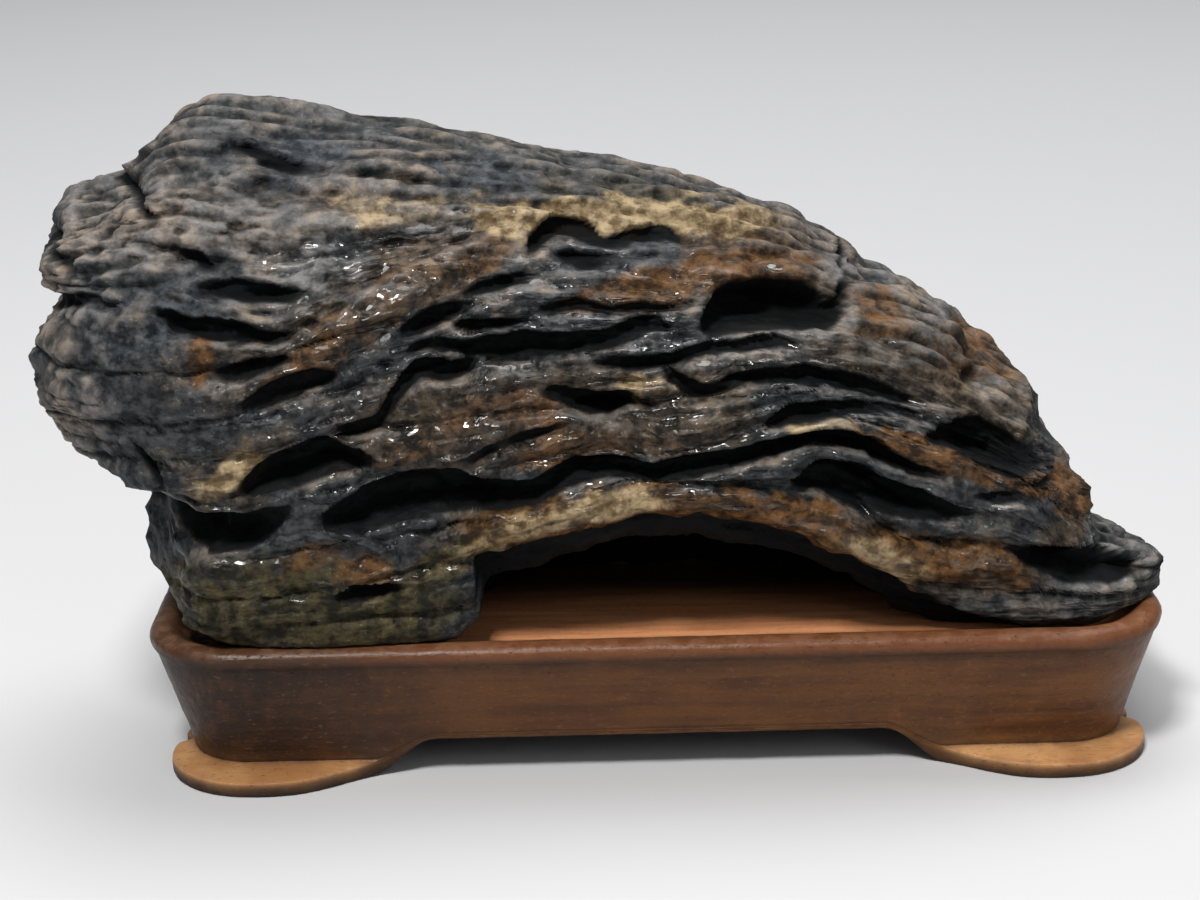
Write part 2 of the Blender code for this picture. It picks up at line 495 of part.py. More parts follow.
def rock_relief(point, normal):
    """How far the beds, gaps, ribs and lumps move each point out, and the way they move it."""
    x, y, z = point[..., 0], point[..., 1], point[..., 2]
    facing = -normal[..., 1]
    steep = smooth_step(0.85, 0.35, normal[..., 2])
    in_front = smooth_step(16.0, 8.0, y - curve(FRONT, x) - HIGH_REACH * np.maximum(z - 88, 0))
    front = smooth_step(-0.25, 0.15, facing) * np.maximum(in_front, smooth_step(-120, -135, x))
    back = smooth_step(0.1, 0.5, -facing)
    lumps = forms(WIDE_LUMPS, x, y, z) + forms(SMALL_LUMPS, x, y, z, 9.0)
    beds = sum(bed_relief(x, y, z, *bed_set) for bed_set in BED_SETS)
    relief = lumps + beds * (0.35 + 0.65 * steep) + forms(TOP_GROOVES, x, y, z, 40.0) * (1 - steep)
    relief = relief + line_relief(FRONT_RIBS, x, z, 0.0) * front
    relief = relief - line_relief(FRONT_GAPS, x, z, GAP_OVERHANG) * front
    relief = relief - line_relief(BACK_GAPS, x, z, GAP_OVERHANG) * back
    relief = relief * smooth_step(*SEAT_FADE, z - seat_height(x, y))
    way = normal * np.array([1.0, 1.0, FLAT_WAY])
    way = way / np.linalg.norm(way, axis=-1, keepdims=True)
    return relief, way


def rock_points(columns, rows):
    """The rock's surface as a grid of points, with one point at each end."""
    column = np.linspace(0, 1, columns + 2)[1:-1]
    angle = row_angles(column, rows)
    start, way = ray_lines(column[:, None], angle)
    point = meet_surface(start, way)
    normal = base_normals(point)
    relief, direction = rock_relief(point, normal)
    point = point + relief[..., None] * direction
    point[..., 2] = np.maximum(point[..., 2], seat_height(point[..., 0], point[..., 1]))
    ends = np.array([point[0].mean(axis=0), point[-1].mean(axis=0)])
    return point, ends


def grid_mesh(name, point, ends):
    """Join a grid of rings and its two end points into one closed mesh, in metres."""
    columns, rows = point.shape[:2]
    index = np.arange(columns * rows).reshape(columns, rows)
    beside = np.roll(index, -1, axis=1)
    quads = np.stack([index[:-1], index[1:], beside[1:], beside[:-1]], axis=-1).reshape(-1, 4)
    first, last = columns * rows, columns * rows + 1
    faces = [tuple(int(i) for i in quad) for quad in quads]
    faces += [(first, int(a), int(b)) for a, b in zip(index[0], beside[0])]
    faces += [(last, int(b), int(a)) for a, b in zip(index[-1], beside[-1])]
    vertices = np.concatenate([point.reshape(-1, 3), ends]) * MM
    mesh = bpy.data.meshes.new(name)
    mesh.from_pydata([tuple(v) for v in vertices], [], faces)
    mesh.validate()
    return mesh


def plain_material(name, colour, roughness):
    """A Principled BSDF material of one colour."""
    material = bpy.data.materials.new(name)
    material.use_nodes = True
    shader = material.node_tree.nodes["Principled BSDF"]
    shader.inputs["Base Color"].default_value = (*colour, 1.0)
    shader.inputs["Roughness"].default_value = roughness
    shader.inputs["Metallic"].default_value = 0.0
    return material


def add_object(name, mesh, material, collection):
    """Put a mesh in the scene under its own name, with its own material."""
    obj = bpy.data.objects.new(name, mesh)
    obj.data.materials.append(material)
    collection.objects.link(obj)
    return obj


def add_rock(collection):
    """The stone: one closed body, thinned out to the triangles that its form needs."""
    point, ends = rock_points(ROCK_COLUMNS, ROCK_ROWS)
    mesh = grid_mesh("rock", point, ends)
    rock = add_object("rock", mesh, plain_material("slate", (0.12, 0.115, 0.1), 0.55), collection)
    thin = rock.modifiers.new("Thin out", "DECIMATE")
    thin.ratio = ROCK_TRIANGLES / (2 * ROCK_COLUMNS * ROCK_ROWS)
    thin.use_collapse_triangulate = True
    return rock


# Outline of the stand: stations round the lip, as places along a quarter of its edge.
STRAIGHT_STATIONS = 13
CORNER_STATIONS = 8
SHORT_STATIONS = 5
CREASE_ANGLE = np.radians(40)

# How far the thin foot stands out from the wall, by the distance along a quarter of the wall from
# the middle of the long side, with the small notch on the short side.
FOOT_SPREAD = [
    (68, 0), (72, 0.3), (77, 2.6), (84, 6.8), (91, 10), (98, 11.2), (106, 11), (114, 10),
    (122, 8), (128, 6), (131, 4.6), (133.5, 1.2), (136, 3.2), (139, 3.2), (142, 1.8), (145, 0.1),
    (150, 0),
]
LONG_ARCH = (57.0, 74.0)
SHORT_ARCH = (143.0, 151.0)

# Profile of the tray from its floor over the lip and down the wall, as (inset, height) pairs.
TRAY_PROFILE = [
    (14.0, 34.5), (11.0, 34.7), (8.6, 35.6), (7.2, 37.0), (5.6, 37.85), (3.6, 38.0), (1.5, 37.6),
    (0.2, 36.3), (0.0, 34.9), (0.35, 33.6), (1.1, 32.8),
]
WALL_FOOT_INSET = 8.0
WALL_BULGE = 0.9
FOOT_TOP = 4.6
FOOT_THICKNESS = 1.4
FOOT_CHAMFER = 0.6
INNER_WALL_INSET = 17.0


def lip_stations():
    """Points of the lip's outline with outward directions and the place along a quarter."""
    straight = STAND_LENGTH / 2 - LIP_CORNER_RADIUS
    short = STAND_DEPTH / 2 - LIP_CORNER_RADIUS
    wall_radius = LIP_CORNER_RADIUS - WALL_FOOT_INSET
    quarter = []
    for x in np.linspace(0, straight, STRAIGHT_STATIONS, endpoint=False):
        quarter.append(((x, -STAND_DEPTH / 2), (0.0, -1.0), x))
    for turn in np.linspace(0, np.pi / 2, CORNER_STATIONS, endpoint=False):
        out = (np.sin(turn), -np.cos(turn))
        place = (straight + LIP_CORNER_RADIUS * out[0], -short + LIP_CORNER_RADIUS * out[1])
        quarter.append((place, out, straight + wall_radius * turn))
    corner_end = straight + wall_radius * np.pi / 2
    for y in np.linspace(-short, 0, SHORT_STATIONS, endpoint=False):
        quarter.append(((STAND_LENGTH / 2, y), (1.0, 0.0), corner_end + short + y))
    quarter.append(((STAND_LENGTH / 2, 0.0), (1.0, 0.0), corner_end + short))
    right = quarter + [((x, -y), (a, -b), s) for (x, y), (a, b), s in quarter[-2::-1]]
    return right + [((-x, y), (-a, b), s) for (x, y), (a, b), s in right[-2:0:-1]]


def station_profile(place, flare):
    """Inset and height of the section at one place, from the floor round to the underside."""
    rise = 1 - smooth_step(*LONG_ARCH, place) * smooth_step(*SHORT_ARCH[::-1], place)
    bottom = APRON_HEIGHT * rise
    wall_end = bottom + FOOT_TOP - (FOOT_TOP - FOOT_THICKNESS) * rise
    on_foot = FOOT_SPREAD[0][0] < place < FOOT_SPREAD[-1][0]
    spread = float(curve(FOOT_SPREAD, place)) if on_foot else 0.0
    inset, height = TRAY_PROFILE[-1]
    profile = list(TRAY_PROFILE)
    for part in (0.45, 1.0):
        lean = inset + (flare * WALL_FOOT_INSET - inset) * part**WALL_BULGE
        profile.append((lean, height + (wall_end - height) * part))
    edge = flare * WALL_FOOT_INSET + 0.15 - spread
    profile.append((edge, wall_end - 0.9))
    profile.append((edge - 0.1, bottom + 0.45))
    profile.append((edge + FOOT_CHAMFER, bottom))
    profile.append((INNER_WALL_INSET - FOOT_CHAMFER, bottom))
    profile.append((INNER_WALL_INSET + 0.4, PANEL_HEIGHT))
    return profile


def add_stand(collection):
    """The stand: one block, carved as a tray with a rolled lip, aprons and four spreading feet."""
    rings = []
    for (x, y), (out_x, out_y), place in lip_stations():
        flare = 1 + (SIDE_FLARE - 1) * abs(out_x)
        profile = station_profile(place, flare)
        rings.append([(x - out_x * inset, y - out_y * inset, z) for inset, z in profile])
    point = np.array(rings)
    stations, steps = point.shape[:2]
    index = np.arange(stations * steps).reshape(stations, steps)
    beside = np.roll(index, -1, axis=0)
    quads = np.stack([index[:, :-1], index[:, 1:], beside[:, 1:], beside[:, :-1]], axis=-1)
    faces = [tuple(int(i) for i in quad) for quad in quads.reshape(-1, 4)]
    faces.append(tuple(int(i) for i in index[:, 0]))
    faces.append(tuple(int(i) for i in index[::-1, -1]))
    mesh = bpy.data.meshes.new("stand")
    mesh.from_pydata([tuple(v) for v in point.reshape(-1, 3) * MM], [], faces)
    mesh.validate()
    mesh.shade_smooth()
    mesh.set_sharp_from_angle(angle=CREASE_ANGLE)
    return add_object("stand", mesh, plain_material("carved_wood", (0.3, 0.13, 0.07), 0.4), collection)


def evaluated_points(obj):
    """Vertices of an object as its modifiers leave them."""
    shown = obj.evaluated_get(bpy.context.evaluated_depsgraph_get())
    mesh = shown.to_mesh()
    points = np.array([tuple(shown.matrix_world @ v.co) for v in mesh.vertices])
    shown.to_mesh_clear()
    return points


def centre_on_table(objects):
    """Move the pieces so that the origin is under the middle of the whole object."""
    points = np.concatenate([evaluated_points(obj) for obj in objects])
    low, high = points.min(axis=0), points.max(axis=0)
    shift = np.array([(low[0] + high[0]) / 2, (low[1] + high[1]) / 2, low[2]])
    for obj in objects:
        obj.location = -shift


def main():
    for obj in list(bpy.data.objects):
        bpy.data.objects.remove(obj, do_unlink=True)
    collection = bpy.data.collections.new("scholars_rock")
    bpy.context.scene.collection.children.link(collection)
    pieces = [add_rock(collection), add_stand(collection)]
    centre_on_table(pieces)


main()
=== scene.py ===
"""Looks of a layered scholar's rock resting in its carved wooden stand.

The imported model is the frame. The rock and the stand are made again here as fine meshes from the same
driving dimensions as the solids that they replace, and then get their stone and wood materials.
Lengths are in millimetres, laid out about the middle of the stand on the table, until a mesh is made.
"""

import itertools
import math

import bmesh
import bpy
import numpy as np
from mathutils import Matrix, Vector


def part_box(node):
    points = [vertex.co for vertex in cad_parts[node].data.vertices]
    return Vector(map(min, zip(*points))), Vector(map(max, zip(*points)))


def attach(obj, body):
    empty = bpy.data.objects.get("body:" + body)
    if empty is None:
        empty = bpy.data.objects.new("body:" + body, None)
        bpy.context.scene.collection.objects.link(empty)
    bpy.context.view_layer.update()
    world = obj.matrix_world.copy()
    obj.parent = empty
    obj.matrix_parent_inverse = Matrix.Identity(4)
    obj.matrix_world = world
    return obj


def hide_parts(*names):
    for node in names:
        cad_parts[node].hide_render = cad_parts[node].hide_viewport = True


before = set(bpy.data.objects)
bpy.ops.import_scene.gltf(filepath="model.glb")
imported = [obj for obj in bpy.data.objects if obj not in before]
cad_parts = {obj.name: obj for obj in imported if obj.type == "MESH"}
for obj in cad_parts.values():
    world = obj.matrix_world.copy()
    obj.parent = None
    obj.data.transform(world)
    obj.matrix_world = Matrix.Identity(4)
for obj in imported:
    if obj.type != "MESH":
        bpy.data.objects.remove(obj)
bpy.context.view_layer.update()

MM = 0.001
STAND_LOW, STAND_HIGH = (np.array(corner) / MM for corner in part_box("stand"))
STAND_MIDDLE = np.array([
    (STAND_LOW[0] + STAND_HIGH[0]) / 2, (STAND_LOW[1] + STAND_HIGH[1]) / 2, STAND_LOW[2]
])

# The camera: its place about the middle of the stand, its angles and its lens.
CAMERA_PLACE = (-13.3, -605.8, 269.2)
CAMERA_PITCH = math.radians(18.0)
CAMERA_ROLL = math.radians(1.4)
CAMERA_LENS = 72.0
CAMERA_SENSOR = 36.0

# Driving dimensions of the stand.
STAND_LENGTH = 262.0
STAND_DEPTH = 104.0
STAND_HEIGHT = 38.0
LIP_CORNER_RADIUS = 25.0
FLOOR_HEIGHT = 34.5
APRON_HEIGHT = 10.0
PANEL_HEIGHT = 22.0
SIDE_FLARE = 1.2

# Driving dimensions of the rock.
ROCK_RIGHT = 132.0
SEAT_GAP = 0.3
RIM_GAP = 0.4
RIM_CLIMB = (13.5, 8.5)
LEFT_ROUNDING = 13.0
RIGHT_ROUNDING = 12.0
END_POWER = 2.6

# How finely the rock is sampled: just under 200,000 triangles.
ROCK_COLUMNS = 347
ROCK_ROWS = 286
TRIAL_ANGLES = 521
RELIEF_SHARE = 0.6
FRONT_SHARE = 0.95
BACK_SHARE = 0.45
SHARE_ANGLES = (2.0, 1.0)
SHARE_MIDDLE = 0.25
FLOOR_SAVING = 0.6
ANGLE_PASSES = 14
NORMAL_PASSES = 6

# Where along the rock its rays begin to fan round the ends, and how far they feel for the surface.
LEFT_FAN = 0.17
RIGHT_FAN = 0.91
NEAREST_SURFACE = 2.0
FARTHEST_SURFACE = 190.0
HALVINGS = 20

# Small forms that only this surface carries, as their height and their size along X, Y and Z.
WIDE_RAGGED = (0.6, 7.0, 7.0, 5.0)
SMALL_RAGGED = (0.25, 2.6, 2.6, 2.0)
WIDE_KNOBS = (1.5, 11.0, 11.0, 8.0)
SMALL_KNOBS = (0.8, 5.0, 5.0, 3.6)
CRUMBS = (0.34, 2.3, 2.3, 1.8)
WIDE_FACETS = (1, 13, 13, 11)
SMALL_FACETS = (0.5, 5.5, 5.5, 4.6)
FACET_HEIGHT = 2.2
WIDE_FURROWS = (1, 42, 6, 8)
SMALL_FURROWS = (0.3, 26, 2.6, 3.4)
FURROW_HEIGHT = 4.4
FURROW_SINK = 0.8
LEDGE_SETS = ((4.6, 57.0), (2.7, 12.0))
GAP_WARP = 1.5
PIT_SEED = 71
PIT_COUNT = 380
PIT_REACH = 9
PIT_RADII = (0.9, 2.6)
PIT_DEPTHS = (0.5, 1.6)
# How deep under the arch's lip its painted shade begins and is full.
ARCH_SHADE_DEPTHS = (1.5, 6.0)
DENT_SEED = 19
DENT_COUNT = 40
DENT_DEPTHS = (0.15, 0.5)
DENT_RADII = (0.8, 1.8)
FLOOR_RINGS = 7
CENTRE_REACH = STAND_LENGTH / 2 - 52.0
MERGE_DISTANCE = 0.00002

# Thin wet rims on the front: how many in each 100 mm of beds, their share of each ledge, and the rise
# from one to the next in metres.
RIM_COUNT = 24
RIM_SHARE = 0.26
RIM_RISE = 0.00092

# Stone colours.
SLATE_BLACK = (0.0028, 0.0034, 0.0040)
SLATE_DARK = (0.0100, 0.0115, 0.0125)
SLATE_COOL = (0.049, 0.052, 0.0545)
SLATE_LIGHT = (0.205, 0.195, 0.190)
SLATE_BEIGE = (0.310, 0.250, 0.200)
BROWN_DARK = (0.0105, 0.0085, 0.0062)
BROWN_LIGHT = (0.070, 0.053, 0.038)
# Pale specks, partly mineral and partly painted glints.
FLECK_AND_GLINT = (0.45, 0.42, 0.36)
RUST_DEEP = (0.030, 0.0160, 0.0070)
RUST_BRIGHT = (0.150, 0.070, 0.0230)
OCHRE_DEEP = (0.145, 0.096, 0.046)
OCHRE_BRIGHT = (0.420, 0.315, 0.180)
MOSS_DEEP = (0.012, 0.0095, 0.003)
MOSS_BRIGHT = (0.062, 0.047, 0.013)
BLUE_DEEP = (0.010, 0.013, 0.017)
BLUE_BRIGHT = (0.060, 0.074, 0.090)

# Wood colours.
WOOD_DARK = (0.072, 0.026, 0.0080)
WOOD_RED = (0.125, 0.045, 0.0110)
WOOD_WARM = (0.160, 0.062, 0.0150)
# Painted shade of the stand's left side.
WOOD_LEFT_SHADE = (0.023, 0.0105, 0.0058)
# Pale wood, for edge wear with a painted highlight and for small pale marks of the grain.
WOOD_PALE = (0.300, 0.150, 0.080)
# The lip's pinker tone, partly a painted highlight.
LIP_TONE_AND_HIGHLIGHT = (0.150, 0.048, 0.0170)
FLOOR_DEEP = (0.700, 0.285, 0.125)
FLOOR_ORANGE = (0.900, 0.400, 0.185)
FLANGE_DEEP = (0.520, 0.245, 0.095)
FLANGE_TAN = (0.800, 0.440, 0.190)
PORE = (0.020, 0.009, 0.005)
# Near black painted shade of creases, the underside and the back of the tray floor.
SHADE_DARK = (0.015, 0.009, 0.006)

# Where the tray floor darkens under the arch with painted shadow and some dirt, as two values of Y in
# metres.
SHADED_FLOOR = (-0.024, 0.004)

# Soft random values of both materials, as their scale, detail and roughness.
STONE_BLOTCH = (70, 5, 0.6)
STONE_PATCH = (230, 5, 0.62)
STONE_MOTTLE = (620, 4, 0.6)
STONE_GRAIN = (1500, 3, 0.6)
STONE_SWELL = (240, 2, 0.45)
WET_PLACES = (100, 2, 0.5)
WIDE_WANDER = (60, 1, 0.5)
SMALL_WANDER = (210, 1, 0.4)
WOOD_BLOTCH = (38, 5, 0.6)
WOOD_DIRT = (190, 5, 0.66)

# The same, drawn out along the beds or the grain, as the scale of each axis, detail and roughness.
STONE_VEIN = ((60, 420, 60), 4, 0.6)
WOOD_GRAIN = ((22, 300, 300), 4, 0.55)
WOOD_FIBRE = ((150, 1800, 1800), 3, 0.55)
WOOD_FLECK = ((620, 1500, 1300), 2, 0.5)

# Chips of the stone, and how far they are warped.
CHIP_SCALE = (230, 480, 230)
CHIP_WARP_SCALE = 300
CHIP_WARP = (0.003, 0.003, 0.003)

# Gloss of both surfaces, and the heights of their bumps in metres.
STONE_SPECULAR = 0.14
WET_ROUGHNESS = 0.07
WOOD_SPECULAR = 0.28
FLOOR_ROUGHNESS = 0.85
CHIP_DEPTH = 0.0006
SWELL_HEIGHT = 0.0007
MOTTLE_HEIGHT = 0.0001
GRAIN_HEIGHT = 0.00005
PORE_DEPTH = 0.00012
WOOD_RISE = 0.0003

# The pale room, in metres. Each lamp has a place, a target, its two sides, its power and its colour.
FLOOR_REACH = 6.0
FLOOR_COLOUR = (0.60, 0.60, 0.61)
WORLD_COLOUR = (0.95, 0.97, 1.0)
WORLD_STRENGTH = 0.20
LIGHTS = [
    ("key", (-0.25, -0.62, 1.20), (0.0, 0.0, 0.08), (0.26, 0.26), 15.0, (1.0, 0.99, 0.97)),
    ("fill", (0.90, -1.20, 0.90), (0.0, 0.0, 0.08), (0.8, 0.6), 2.5, (0.97, 0.98, 1.0)),
    ("top", (0.20, 0.90, 2.50), (0.0, 0.4, 0.0), (2.2, 1.6), 52.0, (1.0, 1.0, 1.0)),
]

# Outlines of the rock, as (x, value) knots: its crest, its underside, its widest level, and how far
# its front, its ridge and its back stand from the middle of the stand.
CREST = [
    (-160, 143), (-144, 146.5), (-138, 148.6), (-133, 151.6), (-129, 155.5), (-123, 160.5), (-112, 164.6),
    (-98, 163.6), (-81, 162.2), (-63, 159.5), (-49, 156), (-34, 152), (-24, 149.5), (-20, 148), (-12, 147),
    (3, 142.5), (19, 138.2), (36, 133), (44, 129), (50, 125.5), (54, 121.5), (57, 119), (61, 117.2),
    (67.5, 113.8), (73, 110.4), (78.5, 106.8), (83.5, 103.2), (89, 100.4), (93.5, 96.6), (96, 92.4),
    (97.6, 87.5), (99.4, 81.5), (102.5, 77), (106, 73), (108.2, 68), (109.5, 62.5), (112, 58.2), (117, 55),
    (124, 52.6), (128, 50.8), (133, 47),
]
FOOT = [
    (-160, 78), (-150, 77), (-144, 75), (-139, 73), (-135.5, 72), (-132.5, 68), (-131, 60), (-130, 51),
    (-127, 44), (-122, 38), (-115, 34), (-107, 33), (0, 33), (118, 33), (124, 34), (132, 37),
]
WAIST = [
    (-160, 112), (-135, 108), (-110, 98), (-60, 88), (0, 76), (60, 66), (90, 58), (104, 54.5), (112, 51.5),
    (122, 48), (132, 43.5),
]
FRONT = [
    (-160, -30), (-150, -34), (-140, -42), (-125, -48), (-105, -50.5), (-60, -49), (-45, -47), (0, -46),
    (60, -45), (90, -44.5), (110, -42), (122, -35), (132, -27),
]
BACK = [
    (-160, 26), (-150, 30), (-140, 36), (-120, 42), (-90, 46), (-40, 47), (20, 45), (70, 42), (100, 38),
    (120, 30), (132, 24),
]
RIDGE = [(-160, 12), (64, 12), (84, 8), (100, -2), (112, -12), (124, -18), (132, -20)]

# How steeply the stone falls off behind its ridge, as height over depth.
BACK_FALL = [(-160, 0), (74, 0), (84, 0.1), (96, 0.32), (110, 0.42), (132, 0.45)]

# How far the left end reaches, as (level, x) knots: a lobe over a notch over a lobe.
LEFT_END = [
    (70, -146), (78, -151), (90, -155.5), (103, -156.5), (112, -154.5), (121, -150.5), (129, -154),
    (136, -156.5), (146, -155.5), (160, -153),
]

# How much slimmer the left foot is than the overhang above it, by place along the rock and level.
LEFT_FOOT_TAPER = 0.35
LEFT_FOOT_PLACES = (-108, -130)
LEFT_FOOT_LEVELS = (84, 68)

# How square each section is above and below its widest level: 2 is an ellipse, more is squarer.
TOP_POWER = [(-160, 2.4), (-140, 2), (-110, 1.6), (-40, 1.7), (20, 1.9), (90, 2), (132, 2.2)]
LOW_POWER = [(-160, 3), (-133, 3), (-126, 4), (-110, 9), (0, 9), (110, 9), (132, 4)]

# The arched hollow under the front: its lip, how far back it reaches, and the ledge hanging inside.
ARCH_LIP = [
    (-60, 52), (-50, 57), (-43, 60), (-36, 62), (-28, 64), (-18, 67), (-10, 69), (0, 70), (10, 69.5),
    (20, 68), (30, 65.5), (40, 61), (50, 56), (58, 51), (64, 47), (70, 43.5), (78, 40.5), (88, 38),
    (94, 35), (104, 28),
]
ARCH_BACK = [
    (-60, -20), (-46, -8), (-40, 2), (-30, 10), (0, 13), (30, 11), (45, 4), (55, -8), (64, -18), (75, -27),
    (88, -34), (104, -42),
]
ARCH_LEFT = [(30, -56), (36, -52), (42, -47), (48, -44), (54, -45.5), (64, -50), (80, -60)]
ARCH_BLEND = 5
ARCH_EDGE_BLEND = 3.5
ARCH_LEFT_SLANT = 0.2
ARCH_LEDGE_DROP = 8.5
ARCH_LEDGE_START = 6
ARCH_LEDGE_END = 13

# The line inside the rock that its surface is measured from, as (x, value) knots.
CORE_HEIGHT = [(-122, 106), (-60, 100), (-40, 94), (0, 92), (40, 82), (70, 66), (90, 60), (108, 50.5)]
CORE_Y = [(-122, 0), (-70, 4), (-44, 20), (0, 25), (40, 22), (64, 10), (90, 0), (108, -10)]

# Levels that the beds of the stone follow across the front, as bed height: (x, z) knots.
BEDS = {
    30: [(-165, 30), (140, 30)],
    60: [(-165, 52), (-128, 51), (-100, 52), (-60, 55), (-42, 60), (-20, 66), (0, 70), (20, 68), (40, 61),
     (60, 51), (80, 46), (110, 42), (140, 37)],
    76: [(-165, 73), (-128, 73), (-108, 71), (-90, 73), (-78, 74), (-60, 78), (-40, 77), (-22, 80),
     (-12, 82), (0, 81), (18, 84), (32, 87), (44, 88), (54, 85), (66, 79), (80, 74), (95, 68), (110, 58),
     (125, 50), (140, 44)],
    104: [(-165, 96), (-120, 97), (-100, 101), (-80, 106), (-60, 108), (-40, 111), (-20, 111), (0, 110),
     (30, 108), (45, 105), (60, 100), (75, 93), (90, 84), (105, 72), (120, 57), (140, 49)],
    120: [(-165, 124), (-119, 123), (-100, 118), (-91, 117), (-80, 121), (-62, 126), (-45, 125), (-28, 121),
     (0, 119), (30, 116), (45, 115), (60, 110), (75, 103), (90, 94), (105, 80), (120, 61), (140, 53)],
    137: [(-165, 140), (-120, 140), (-100, 137), (-60, 136), (-20, 137), (0, 134), (20, 131), (40, 125),
     (52, 121), (64, 116), (80, 106), (92, 98), (105, 84), (120, 65), (140, 57)],
    172: [(-165, 172), (-110, 176), (-60, 172), (0, 156), (40, 144), (60, 128), (80, 117), (100, 96),
     (120, 72), (140, 62)],
}

